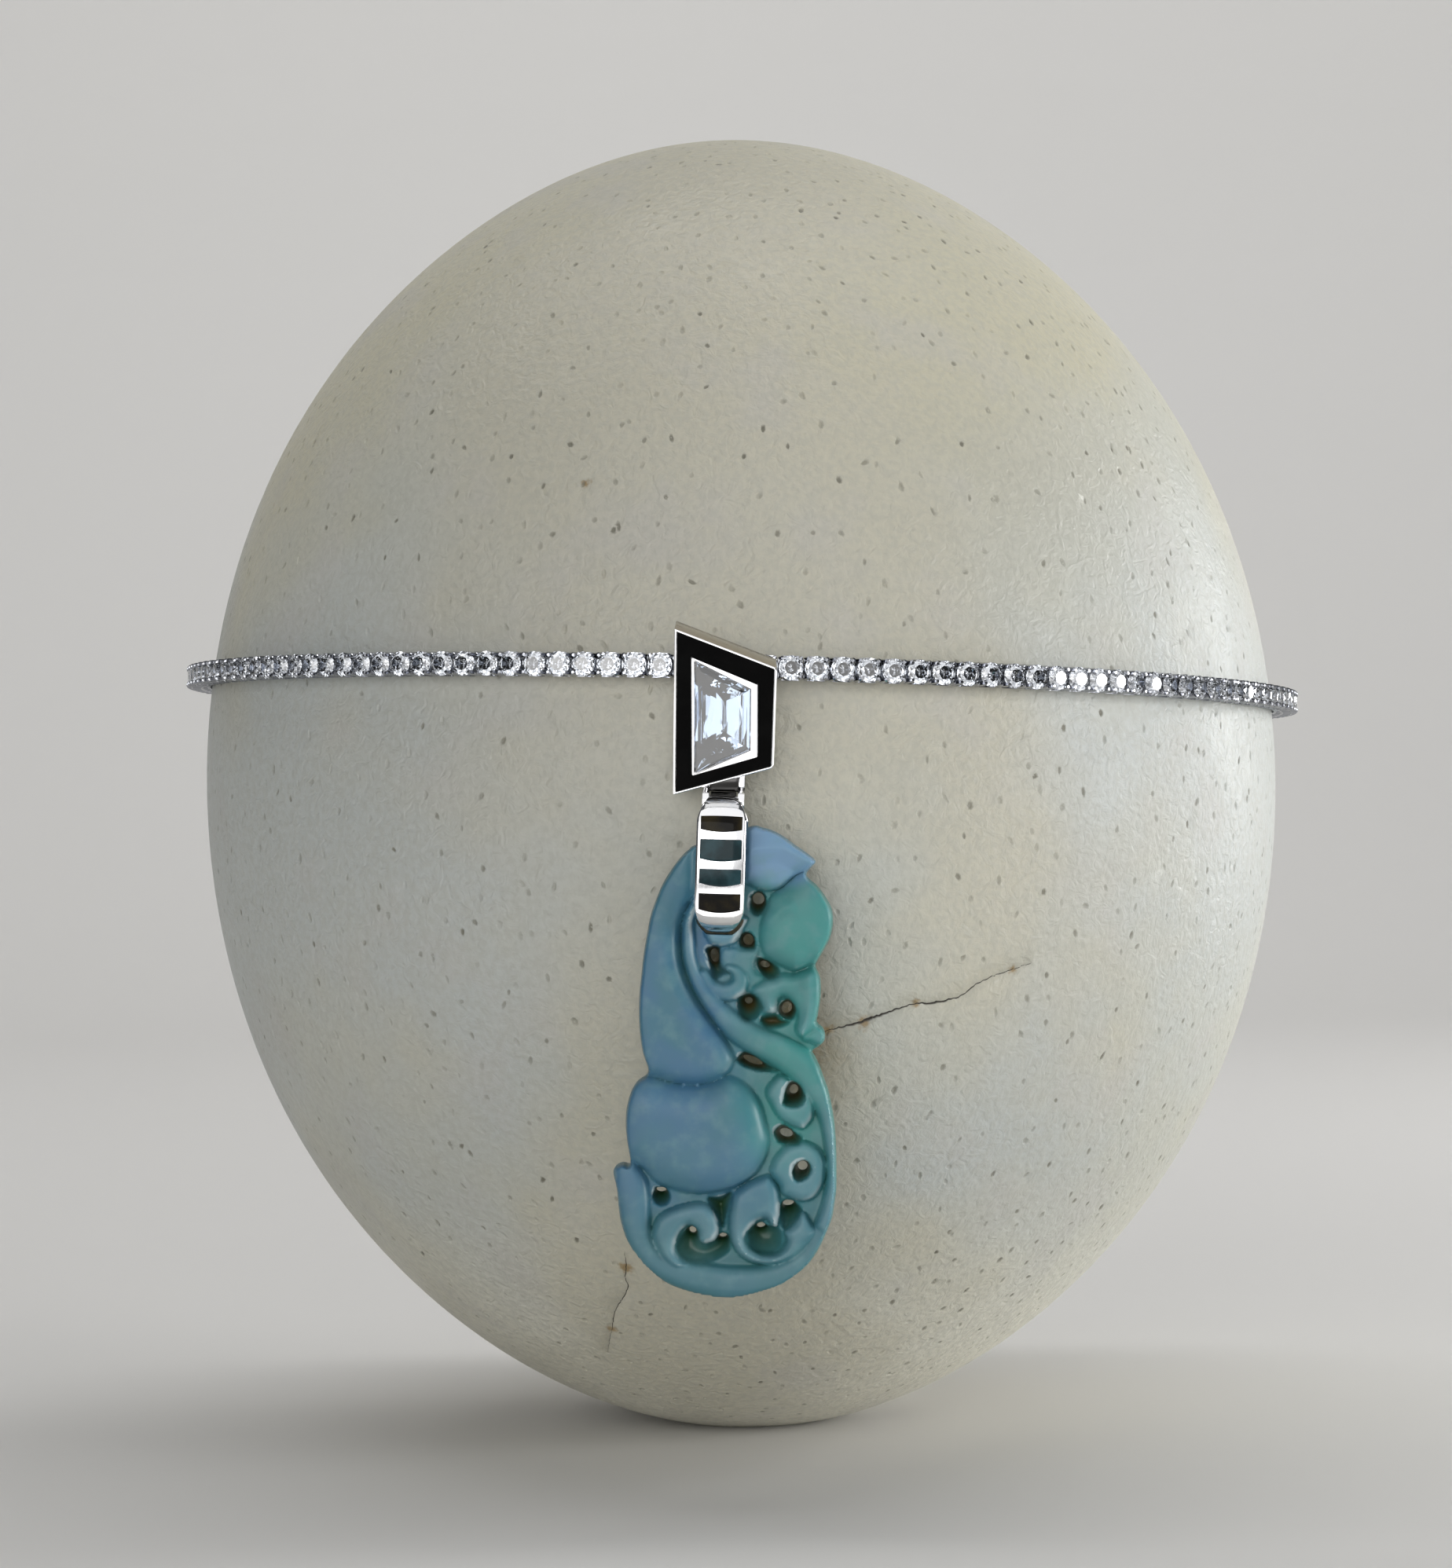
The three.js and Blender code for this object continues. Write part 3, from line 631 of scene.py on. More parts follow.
def makeGoldFinish(name, deep, pale, recessShade=None):
    material, tree, shader = newFinish(name, **{"Metallic": 1.0})
    place = ownPlace(tree)
    tone = noiseAt(tree, place, 300.0, 3.0)
    colour = mixColour(tree, spread(tree, tone, 0.35, 0.65), deep, pale)
    if recessShade:
        # painted shade and painted dark reflection in the hinge's recess
        away, height = addNode(tree, "ShaderNodeSeparateXYZ", {0: place}).outputs[1:3]
        behind, above, below = (limit * mm for limit in recessShade)
        soft = paintedMetalShading["soft"] * mm
        recessShadeMask = math2(tree, "MULTIPLY", spread(tree, away, behind - soft, behind),
                     spread(tree, height, above - soft, above))
        recessShadeMask = math2(tree, "MULTIPLY", recessShadeMask, spread(tree, height, below + soft, below, 0, 0.95))
        colour = mixColour(tree, recessShadeMask, colour, metalTints["recessShade"])
        # a warm painted reflection of the shell on faces that point upwards
        facing = addNode(tree, "ShaderNodeTexCoord").outputs["Normal"]
        upwards = addNode(tree, "ShaderNodeSeparateXYZ", {0: facing}).outputs[2]
        reflectionFrom = paintedMetalShading["reflectionAbove"] * mm
        warm = math2(tree, "MULTIPLY", spread(tree, upwards, 0.5, 0.8),
                     spread(tree, height, reflectionFrom, reflectionFrom + soft, 0, 0.7))
        colour = mixColour(tree, warm, colour, metalTints["paintedShellReflection"])
    tree.links.new(colour, shader.inputs["Base Color"])
    addPolish(tree, shader, scale=500.0, bright=0.06, dull=0.16, bump=0.15)
    return material


def makeOnyxFinish(name, shine, deep, pale):
    material, tree, shader = newFinish(name, **{"Specular IOR Level": shine})
    place = ownPlace(tree)
    cloud = noiseAt(tree, place, 420.0, 5.0)
    colour = mixColour(tree, spread(tree, cloud, 0.4, 0.7), deep, pale)
    tree.links.new(colour, shader.inputs["Base Color"])
    addPolish(tree, shader, scale=600.0, bright=0.05, dull=0.14, bump=0.1)
    return material


def makeDiamondFinish(name, colour, dull):
    material, tree, shader = newFinish(name, **{
        "Base Color": colour, "Transmission Weight": 1.0, "IOR": clearStone["index"]})
    addPolish(tree, shader, scale=900.0, bright=0.0, dull=dull, bump=0.02)
    return material


whiteGold = makeGoldFinish("whiteGold", *metalTints["white"])
frameGold = makeGoldFinish("frameGold", *metalTints["white"], paintedMetalShading["frame"])
bailGold = makeGoldFinish("bailGold", *metalTints["white"], paintedMetalShading["bail"])
# white gold darkened as painted shade for the line of settings
shadedLineGold = makeGoldFinish("shadedLineGold", *metalTints["line"])
borderOnyx = makeOnyxFinish("borderOnyx", 0.03, *onyxTints["border"])
brownOnyx = makeOnyxFinish("brownOnyx", 0.1, *onyxTints["brown"])
tealOnyx = makeOnyxFinish("tealOnyx", 0.15, *onyxTints["teal"])
shadedLineDiamond = makeDiamondFinish("shadedLineDiamond", clearStone["line"], 0.02)
centreDiamondFinish = makeDiamondFinish("centreDiamond", clearStone["centre"], 0.015)


# line of stones: one setting and one brilliant, repeated round the egg by a node tree
line = {
    "links": 146,
    "wholeRing": 150,
    "level": 85.2,          # middle of the band, mm
    "turn": 2.5,            # degrees the band sits lower on its right
    "pitch": 1.2,           # degrees the band sits higher at the front
    "shift": (0.34, 0.16),  # mm to the right and back, where the lower sides meet a wider egg
    "outer": 65.0,
    "inner": 62.15,
    "stoneRadius": 1.29,
    "tableDepth": 0.16,     # behind the prong tips
    "crown": 0.42,
    "girdle": 0.07,
    "pavilion": 0.85,
    "tableShare": 0.57,     # of the stone's radius
    "starShare": 0.78,
    "starDrop": 0.45,       # share of the crown's height
    "plateBack": 0.1,
    "plateHalf": 1.27,
    "plateThickness": 1.05,
    "plateRound": 0.42,
    "plateTaper": (0.8, 0.86),      # width and height left at the back
    "prongPlace": 0.99,
    "prongRadius": 0.27,
    "prongSides": 6,
    "prongRoot": 0.3,       # how far a prong starts in front of the plate's back
    "prongTip": [(0.2, 0.95, 0.04), (0.02, 0.55, 0.1)],     # below the tip, share of the radius, inset
    "bridgeHalfHeight": 0.45,
    "bridgeInset": (0.35, 0.1),     # from the plate's front and back
    "bridgeOverlap": 0.05,
    "tilt": 3.0,            # degrees a stone may sit off true
    "seed": 5,
}


lineMatrix = (Matrix.Translation((line["shift"][0] * mm, line["shift"][1] * mm, line["level"] * mm))
              @ Matrix.Rotation(-math.radians(line["pitch"]), 4, "X")
              @ Matrix.Rotation(math.radians(line["turn"]), 4, "Y")
              @ Matrix.Translation((0, 0, -line["level"] * mm)))


def makeBrilliant():
    radius = line["stoneRadius"]
    front = -line["outer"] + line["tableDepth"]
    girdleTop = front + line["crown"]
    girdleBack = girdleTop + line["girdle"]
    culet = girdleBack + line["pavilion"]
    vertices = []

    def ringAt(count, reach, depth, offset):
        start = len(vertices)
        for index in range(count):
            angle = 2 * math.pi * (index + offset) / count
            vertices.append((reach * math.cos(angle), depth, line["level"] + reach * math.sin(angle)))
        return start

    table = ringAt(8, line["tableShare"] * radius, front, 0.5)
    star = ringAt(8, line["starShare"] * radius, front + line["starDrop"] * line["crown"], 0.0)
    rim = ringAt(16, radius, girdleTop, 0.0)
    back = ringAt(16, radius, girdleBack, 0.0)
    vertices.append((0, culet, line["level"]))
    tip = len(vertices) - 1
    faces = [tuple(table + k for k in range(8))]
    for k in range(8):
        after = (k + 1) % 8
        before = (k - 1) % 8
        faces.append((table + before, star + k, table + k))
        faces.append((star + k, rim + 2 * k, rim + 2 * k + 1))
        faces.append((star + k, rim + (2 * k - 1) % 16, rim + 2 * k))
        faces.append((star + k, rim + 2 * k + 1, star + after, table + k))
    for k in range(16):
        after = (k + 1) % 16
        faces.append((rim + k, back + k, back + after, rim + after))
        faces.append((back + k, tip, back + after))
    brilliant = makePiece("oneBrilliant", np.array(vertices) * mm, faces, smooth=False)
    faceOutwards(brilliant)
    return brilliant


def makeSetting():
    half = line["plateHalf"]
    level = line["level"]
    plateBack = -line["inner"] - line["plateBack"]
    plateFront = plateBack - line["plateThickness"]
    work = bmesh.new()

    def addBox(x0, x1, y0, y1, z0, z1):
        corners = [(x, y, z) for x in (x0, x1) for y in (y0, y1) for z in (z0, z1)]
        made = bmesh.ops.create_cube(work, size=1)["verts"]
        for vertex, corner in zip(sorted(made, key=lambda v: (v.co.x, v.co.y, v.co.z)), corners):
            vertex.co = corner

    addBox(-half, half, plateFront, plateBack, level - half, level + half)
    edges = [e for e in work.edges if abs(e.verts[0].co.y - e.verts[1].co.y) > 0.1]
    bmesh.ops.bevel(work, geom=edges, offset=line["plateRound"], segments=2, affect="EDGES", profile=0.5)
    widthLeft, heightLeft = line["plateTaper"]
    for vertex in work.verts:
        if vertex.co.y > plateBack - 0.01:
            vertex.co.x *= widthLeft
            vertex.co.z = level + (vertex.co.z - level) * heightLeft
    bridge = line["bridgeHalfHeight"]
    insetFront, insetBack = line["bridgeInset"]
    reach = math.pi * line["inner"] / line["wholeRing"] + line["bridgeOverlap"]
    addBox(-reach, reach, plateFront + insetFront, plateBack - insetBack, level - bridge, level + bridge)
    # four prongs, each a tapered round peg with a domed tip
    sides = line["prongSides"]
    profile = [(plateBack - line["prongRoot"], 1.0, 0.0)]
    profile += [(-line["outer"] + below, share, inset) for below, share, inset in line["prongTip"]]
    for signX in (-1, 1):
        for signZ in (-1, 1):
            rings = []
            for depth, share, inset in profile:
                spot = line["prongPlace"] - inset
                radius = share * line["prongRadius"]
                ring = []
                for index in range(sides):
                    angle = 2 * math.pi * (index + 0.5) / sides
                    ring.append(work.verts.new((signX * spot + radius * math.cos(angle), depth,
                                                level + signZ * spot + radius * math.sin(angle))))
                rings.append(ring)
            for lower, upper in zip(rings, rings[1:]):
                for index in range(sides):
                    after = (index + 1) % sides
                    work.faces.new((lower[index], lower[after], upper[after], upper[index]))
            work.faces.new(rings[-1])
            work.faces.new(rings[0][::-1])
    bmesh.ops.scale(work, vec=(mm, mm, mm), verts=work.verts)
    bmesh.ops.recalc_face_normals(work, faces=work.faces)
    mesh = bpy.data.meshes.new("oneSetting")
    work.to_mesh(mesh)
    work.free()
    setting = bpy.data.objects.new("oneSetting", mesh)
    scene.collection.objects.link(setting)
    keepCreases(setting, 40)
    return setting


# node tree: copies of one link, turned step by step round the upright axis
def makeRingTree():
    tree = bpy.data.node_groups.new("linkRing", "GeometryNodeTree")
    tree.interface.new_socket("Geometry", in_out="INPUT", socket_type="NodeSocketGeometry")
    sockets = {}
    for name, kind in (("Count", "NodeSocketInt"), ("First Angle", "NodeSocketFloat"),
                       ("Step Angle", "NodeSocketFloat"), ("Tilt", "NodeSocketFloat"),
                       ("Pivot", "NodeSocketVector"), ("Seed", "NodeSocketInt"),
                       ("Material", "NodeSocketMaterial")):
        sockets[name] = tree.interface.new_socket(name, in_out="INPUT", socket_type=kind).identifier
    tree.interface.new_socket("Geometry", in_out="OUTPUT", socket_type="NodeSocketGeometry")
    entry = tree.nodes.new("NodeGroupInput")
    leave = tree.nodes.new("NodeGroupOutput")
    spots = addNode(tree, "GeometryNodeMeshLine", {"Count": entry.outputs["Count"], "Offset": (0, 0, 0)})
    index = addNode(tree, "GeometryNodeInputIndex").outputs[0]
    turned = math2(tree, "MULTIPLY", index, entry.outputs["Step Angle"])
    turn = math2(tree, "ADD", turned, entry.outputs["First Angle"])
    around = addNode(tree, "ShaderNodeCombineXYZ", {"Z": turn})
    copies = addNode(tree, "GeometryNodeInstanceOnPoints", {"Points": spots.outputs["Mesh"],
                                                            "Instance": entry.outputs["Geometry"],
                                                            "Rotation": around.outputs[0]})
    least = math2(tree, "MULTIPLY", entry.outputs["Tilt"], -1.0)
    halfTurn = 3.14     # a stone may sit at any turn in its setting
    lowest = addNode(tree, "ShaderNodeCombineXYZ", {"X": least, "Y": -halfTurn, "Z": least})
    highest = addNode(tree, "ShaderNodeCombineXYZ", {"X": entry.outputs["Tilt"], "Y": halfTurn,
                                                     "Z": entry.outputs["Tilt"]})
    chance = addNode(tree, "FunctionNodeRandomValue", {"Seed": entry.outputs["Seed"]},
                     data_type="FLOAT_VECTOR")
    tree.links.new(lowest.outputs[0], chance.inputs[0])
    tree.links.new(highest.outputs[0], chance.inputs[1])
    steady = math2(tree, "GREATER_THAN", entry.outputs["Tilt"], 0.0)
    shaken = addNode(tree, "ShaderNodeVectorMath", {0: chance.outputs[0]}, operation="SCALE")
    tree.links.new(steady, shaken.inputs["Scale"])
    settled = addNode(tree, "GeometryNodeRotateInstances", {"Instances": copies.outputs[0],
                                                            "Rotation": shaken.outputs[0],
                                                            "Pivot Point": entry.outputs["Pivot"],
                                                            "Local Space": True})
    whole = addNode(tree, "GeometryNodeRealizeInstances", {"Geometry": settled.outputs[0]})
    coloured = addNode(tree, "GeometryNodeSetMaterial", {"Geometry": whole.outputs[0],
                                                         "Material": entry.outputs["Material"]})
    tree.links.new(coloured.outputs[0], leave.inputs[0])
    return tree, sockets


ringTree, ringSockets = makeRingTree()


def repeatRound(source, name, material, tilt):
    step = 2 * math.pi / line["wholeRing"]
    values = {
        "Count": line["links"],
        "First Angle": -(line["links"] - 1) / 2 * step,
        "Step Angle": step,
        "Tilt": math.radians(tilt),
        "Pivot": (0, -(line["outer"] - line["tableDepth"] - line["crown"]) * mm, line["level"] * mm),
        "Seed": line["seed"],
        "Material": material,
    }
    modifier = source.modifiers.new("linkRing", "NODES")
    modifier.node_group = ringTree
    for key, value in values.items():
        modifier[ringSockets[key]] = value
    bakeModifiers(source)
    source.name = name
    source.data.name = name
    source.data.transform(lineMatrix)
    return source


lineSettings = repeatRound(makeSetting(), "lineSettings", shadedLineGold, 0.0)
finishPiece(lineSettings, shadedLineGold, "dressed_egg", "white_gold", "diamond_line")
lineStones = repeatRound(makeBrilliant(), "lineStones", shadedLineDiamond, line["tilt"])
finishPiece(lineStones, shadedLineDiamond, "dressed_egg", "line_stones", "diamond_line")


# box clasp at the back: a curved box and cap, a tongue that joins them and a safety catch
clasp = {
    "height": 3.2,
    "proud": 0.35,
    "gap": 0.12,
    "edge": 0.22,
    "split": 0.35,          # where box and cap meet, as a share of the half length
    "seam": 0.06,
    "tongueInset": (0.6, 0.7),      # in depth and in height
    "tongueEnds": (0.5, 0.8),       # shares of the half length
    "catchReach": 2.6,
    "catchThickness": 0.42,
    "catchDepth": (0.1, 0.22),      # let in, and standing out
    "catchEnd": 0.9,
    "catchEdge": 0.14,
}


def onRing(radius, turn):
    return Vector((radius * math.sin(turn), -radius * math.cos(turn)))


def curvedBox(name, inner, outer, fromTurn, toTurn, low, high, steps):
    vertices = []
    for step in range(steps + 1):
        turn = fromTurn + (toTurn - fromTurn) * step / steps
        for radius, height in ((inner, low), (outer, low), (outer, high), (inner, high)):
            spot = onRing(radius, turn)
            vertices.append((spot.x, spot.y, height))
    faces = [(0, 1, 2, 3)]
    for step in range(steps):
        base = step * 4
        for side in range(4):
            after = (side + 1) % 4
            faces.append((base + side, base + 4 + side, base + 4 + after, base + after))
    last = steps * 4
    faces.append((last + 3, last + 2, last + 1, last))
    piece = makePiece(name, np.array(vertices) * mm, faces)
    faceOutwards(piece)
    return piece


def makeClasp():
    level, inner = line["level"], line["inner"]
    half = (line["wholeRing"] - line["links"]) * math.pi / line["wholeRing"] - clasp["gap"] / inner
    outer = line["outer"] + clasp["proud"]
    low = level - clasp["height"] / 2
    high = level + clasp["height"] / 2
    split = math.pi + half * clasp["split"]
    seam = clasp["seam"] / outer
    box = curvedBox("claspBox", inner, outer, math.pi - half, split - seam, low, high, 12)
    cap = curvedBox("claspCap", inner, outer, split + seam, math.pi + half, low, high, 8)
    deep, tall = clasp["tongueInset"]
    before, after = clasp["tongueEnds"]
    tongue = curvedBox("claspTongue", inner + deep, outer - deep, math.pi - half * before,
                       math.pi + half * after, low + tall, high - tall, 6)
    for piece in (box, cap, tongue):
        softenEdges(piece, clasp["edge"] * mm, 3)
    # the catch lies on the outside of the box
    reach = clasp["catchReach"] / outer
    sunk, proud = clasp["catchDepth"]
    thick = clasp["catchThickness"]
    catch = curvedBox("claspCatch", outer - sunk, outer + proud, math.pi - reach,
                      math.pi + reach * clasp["catchEnd"], level - thick, level + thick, 10)
    softenEdges(catch, clasp["catchEdge"] * mm, 3)
    return joinPieces("lineClasp", [box, cap, tongue, catch])


lineClasp = makeClasp()
lineClasp.data.transform(lineMatrix)
keepCreases(lineClasp, 35)
finishPiece(lineClasp, whiteGold, "dressed_egg", "white_gold", "line_clasp")


# trapezoid centre, drawn on its own leaning face: x across, height up the face, depth into it
centre = {
    "lean": 14.5,
    "faceDepth": -0.3,
    "thickness": 4.0,
    "corners": [(-5.15, -0.85), (5.05, 2.3), (5.15, 12.7), (-5.3, 16.5)],
    "window": [(-3.25, 1.25), (3.35, 3.4), (3.2, 10.95), (-3.5, 13.6)],
    "stone": [(-2.95, 1.5), (2.55, 4.1), (2.5, 10.4), (-3.15, 13.15)],
    "cornerRadii": (0.12, 0.55, 0.5, 0.12),
    "insideRadius": 0.1,
    "rim": 0.24,
    "borderDepth": 0.8,
    "settingDepth": 3.3,
    "gap": 0.03,
}
leanMatrix = (Matrix.Translation((0, centre["faceDepth"], 0))
              @ Matrix.Rotation(math.radians(centre["lean"]), 4, "X"))


def insetCorners(corners, margin):
    moved = []
    for index, corner in enumerate(corners):
        here = Vector(corner)
        before = (Vector(corners[index - 1]) - here).normalized()
        after = (Vector(corners[(index + 1) % len(corners)]) - here).normalized()
        reach = margin / abs(before.x * after.y - before.y * after.x)
        moved.append(tuple(here + (before + after) * reach))
    return moved


def roundedOutline(corners, radii, arcSteps=5):
    outline = []
    for index, corner in enumerate(corners):
        here = Vector(corner)
        before = (Vector(corners[index - 1]) - here).normalized()
        after = (Vector(corners[(index + 1) % len(corners)]) - here).normalized()
        half = before.angle(after) / 2
        radius = max(radii[index], 0.02)
        middle = here + (before + after).normalized() * radius / math.sin(half)
        start = here + before * radius / math.tan(half) - middle
        sweep = math.pi - 2 * half
        for step in range(arcSteps + 1):
            angle = sweep * step / arcSteps
            turned = Vector((start.x * math.cos(angle) - start.y * math.sin(angle),
                             start.x * math.sin(angle) + start.y * math.cos(angle)))
            outline.append(tuple(middle + turned))
    return outline


def loftLoops(name, loops, ringed=False):
    vertices = []
    for outline, depth in loops:
        vertices += [(x, depth, z) for x, z in outline]
    count = len(loops[0][0])
    faces = []
    spans = len(loops) if ringed else len(loops) - 1
    for loop in range(spans):
        base = loop * count
        upper = ((loop + 1) % len(loops)) * count
        for index in range(count):
            after = (index + 1) % count
            faces.append((base + index, base + after, upper + after, upper + index))
    if not ringed:
        faces.append(tuple(range(count))[::-1])
        faces.append(tuple(range(len(vertices) - count, len(vertices))))
    piece = makePiece(name, vertices, faces)
    faceOutwards(piece)
    return piece


def centreOutline(key, margin):
    if key == "corners":
        radii = [r - margin for r in centre["cornerRadii"]]
    else:
        radii = [centre["insideRadius"]] * 4
    return roundedOutline(insetCorners(centre[key], margin), radii)


def boxPiece(name, low, high):
    (x0, y0, z0), (x1, y1, z1) = low, high
    vertices = [(x, y, z) for x in (x0, x1) for y in (y0, y1) for z in (z0, z1)]
    faces = [(0, 1, 3, 2), (4, 6, 7, 5), (0, 4, 5, 1), (2, 3, 7, 6), (0, 2, 6, 4), (1, 5, 7, 3)]
    piece = makePiece(name, vertices, faces)
    faceOutwards(piece)
    return piece


hinge = {
    "barrelRadius": 0.9,
    "barrelLength": 2.6,
    "barrelBore": 0.55,
    "barrelEdge": 0.08,
    "lugThickness": 0.7,
    "lugGap": 0.15,
    "lugTop": 2.2,
    "lugRoot": (0.64, 1.9),
    "lugHeel": 0.6,             # height where the back meets the barrel
    "lugNeck": 0.2,             # height where the front leaves its root
    "lugChin": (-0.55, -0.45),  # point where it meets the barrel
    "lugEdge": 0.1,
    "railSpan": (-4.0, 0.4),
    "railFront": (-0.5, 0.5),    # of the upper and the lower rail
    "railBack": 4.6,
    "railThickness": 0.75,
    "railClearance": 0.32,
    "railEdge": 0.16,
    "linkHeight": 2.75,
    "plateDepth": (1.0, 1.9),
    "plateBottom": -0.3,
    "plateEdge": 0.15,
}


def sideOutlinePiece(name, outline, fromX, toX):
    vertices = [(fromX, y, z) for y, z in outline] + [(toX, y, z) for y, z in outline]
    count = len(outline)
    faces = [tuple(range(count)), tuple(range(2 * count - 1, count - 1, -1))]
    faces += [(k, k + count, (k + 1) % count + count, (k + 1) % count) for k in range(count)]
    piece = makePiece(name, vertices, faces)
    faceOutwards(piece)
    return piece


def makeCentreFrame():
    rim, depth = centre["rim"], centre["borderDepth"]
    thick, seat = centre["thickness"], centre["settingDepth"]
    # margin and depth of each loop, from the back over the rim and down into the seat
    loops = [
        (centreOutline("corners", 0.3), thick), (centreOutline("corners", 0.06), thick - 0.12),
        (centreOutline("corners", 0.0), thick - 0.3), (centreOutline("corners", 0.0), 0.14),
        (centreOutline("corners", 0.03), 0.04), (centreOutline("corners", 0.1), 0.0),
        (centreOutline("corners", rim - 0.04), 0.0), (centreOutline("corners", rim), 0.05),
        (centreOutline("corners", rim), depth), (centreOutline("window", 0.0), depth),
        (centreOutline("window", 0.0), 0.02), (centreOutline("window", 0.03), -0.05),
        (centreOutline("window", 0.08), -0.06), (centreOutline("stone", -0.1), -0.02),
        (centreOutline("stone", 0.0), 0.12), (centreOutline("stone", 0.02), 0.4),
        (centreOutline("stone", 0.1), 0.7), (centreOutline("stone", 0.5), seat),
    ]
    body = loftLoops("centreBody", loops)
    body.data.transform(leanMatrix)
    lineFront = (lineMatrix @ Vector((0, -line["inner"] * mm, line["level"] * mm))).z
    lineAbove = (lineFront - jewelZero.z) / mm
    offset = hinge["linkHeight"] / 2 + hinge["railClearance"]
    parts = [body]
    bottoms = (lineAbove + offset, lineAbove - offset - hinge["railThickness"])
    for bottom, railFront in zip(bottoms, hinge["railFront"]):
        rail = boxPiece("rail", (hinge["railSpan"][0], railFront, bottom),
                        (hinge["railSpan"][1], hinge["railBack"], bottom + hinge["railThickness"]))
        softenEdges(rail, hinge["railEdge"], 3)
        parts.append(rail)
    front, back = hinge["lugRoot"]
    radius, drop = hinge["barrelRadius"], -jewel["hingeDrop"]
    turns = np.linspace(math.pi, 2 * math.pi, 13)
    lugOutline = [(radius * math.cos(a), drop + radius * math.sin(a)) for a in turns]
    lugOutline += [(back, hinge["lugHeel"]), (back, hinge["lugTop"]), (front, hinge["lugTop"]),
                   (front, hinge["lugNeck"]), hinge["lugChin"]]
    start = hinge["barrelLength"] / 2 + hinge["lugGap"]
    for inner in (start, -start - hinge["lugThickness"]):
        lug = sideOutlinePiece("lug", lugOutline, inner, inner + hinge["lugThickness"])
        softenEdges(lug, hinge["lugEdge"], 2)
        parts.append(lug)
    reach = start + hinge["lugThickness"] / 2
    plate = boxPiece("plate", (-reach, hinge["plateDepth"][0], hinge["plateBottom"]),
                     (reach, hinge["plateDepth"][1], hinge["lugTop"]))
    softenEdges(plate, hinge["plateEdge"], 3)
    parts.append(plate)
    whole = joinPieces("centreFrame", parts)
    placeInJewel(whole)
    keepCreases(whole, 28)
    return whole


def makeBorder():
    rim, gap, depth = centre["rim"] + centre["gap"], centre["gap"], centre["borderDepth"]
    loops = [
        (centreOutline("corners", rim), depth - gap), (centreOutline("corners", rim), 0.07),
        (centreOutline("corners", rim + 0.05), 0.02), (centreOutline("window", -gap - 0.05), 0.02),
        (centreOutline("window", -gap), 0.07), (centreOutline("window", -gap), depth - gap),
    ]
    border = loftLoops("onyxBorder", loops, ringed=True)
    border.data.transform(leanMatrix)
    placeInJewel(border)
    keepCreases(border, 28)
    return border


# step-cut stone: each step is the outline drawn in by an even margin, down to a keel
stone = {
    "middle": (-0.2, 7.25),
    # margin and depth of each step
    "crown": [(1.1, 0.0), (0.66, 0.06), (0.3, 0.15), (0.04, 0.28), (0.04, 0.36)],
    "pavilion": [(0.9, 1.05), (1.55, 1.75), (2.1, 2.45)],
    "keel": 2.95,
    "keelHalf": 1.55,
    "facets": (3, 2, 3, 3),     # along the bottom, right, top and left
    "uneven": 0.05,
    "seed": 3,
}


def facetRing(margin):
    corners = insetCorners(centre["stone"], margin)
    ring = []
    for side, count in enumerate(stone["facets"]):
        start, end = Vector(corners[side]), Vector(corners[(side + 1) % 4])
        ring += [start.lerp(end, step / count) for step in range(count)]
    return ring


def makeCentreStone():
    dice = np.random.default_rng(stone["seed"])
    count = sum(stone["facets"])
    vertices = []
    for margin, depth in stone["crown"]:
        vertices += [(spot.x, depth, spot.y) for spot in facetRing(margin)]
    for margin, depth in stone["pavilion"]:
        shift = dice.uniform(-stone["uneven"], stone["uneven"], (count, 3))
        vertices += [(spot.x + move[0], depth + move[1], spot.y + move[2])
                     for spot, move in zip(facetRing(margin), shift)]
    across, middle = stone["middle"]
    low, high = middle - stone["keelHalf"], middle + stone["keelHalf"]
    lastRing = facetRing(stone["pavilion"][-1][0])
    vertices += [(across, stone["keel"], min(max(spot.y, low), high)) for spot in lastRing]
    faces = [tuple(range(count))]
    for base in range(0, len(vertices) - count, count):
        for index in range(count):
            after = (index + 1) % count
            faces.append((base + index, base + count + index, base + count + after, base + after))
    piece = makePiece("centreDiamond", vertices, faces, smooth=False)
    work = bmesh.new()
    work.from_mesh(piece.data)
    bmesh.ops.remove_doubles(work, verts=work.verts, dist=0.001)
    bmesh.ops.dissolve_degenerate(work, edges=work.edges, dist=0.001)
    bmesh.ops.triangulate(work, faces=[face for face in work.faces if len(face.verts) == 4])
    work.to_mesh(piece.data)
    work.free()
    faceOutwards(piece)
    piece.data.transform(leanMatrix)
    placeInJewel(piece)
    return piece


finishPiece(makeCentreFrame(), frameGold, "dressed_egg", "white_gold", "centre_frame")
finishPiece(makeBorder(), borderOnyx, "dressed_egg", "onyx", "onyx_border")
finishPiece(makeCentreStone(), centreDiamondFinish, "dressed_egg", "clear_stone", "centre_diamond")
pin = frame["nodes"]["hinge_pin"]
pin.data.materials.clear()
pin.data.materials.append(whiteGold)


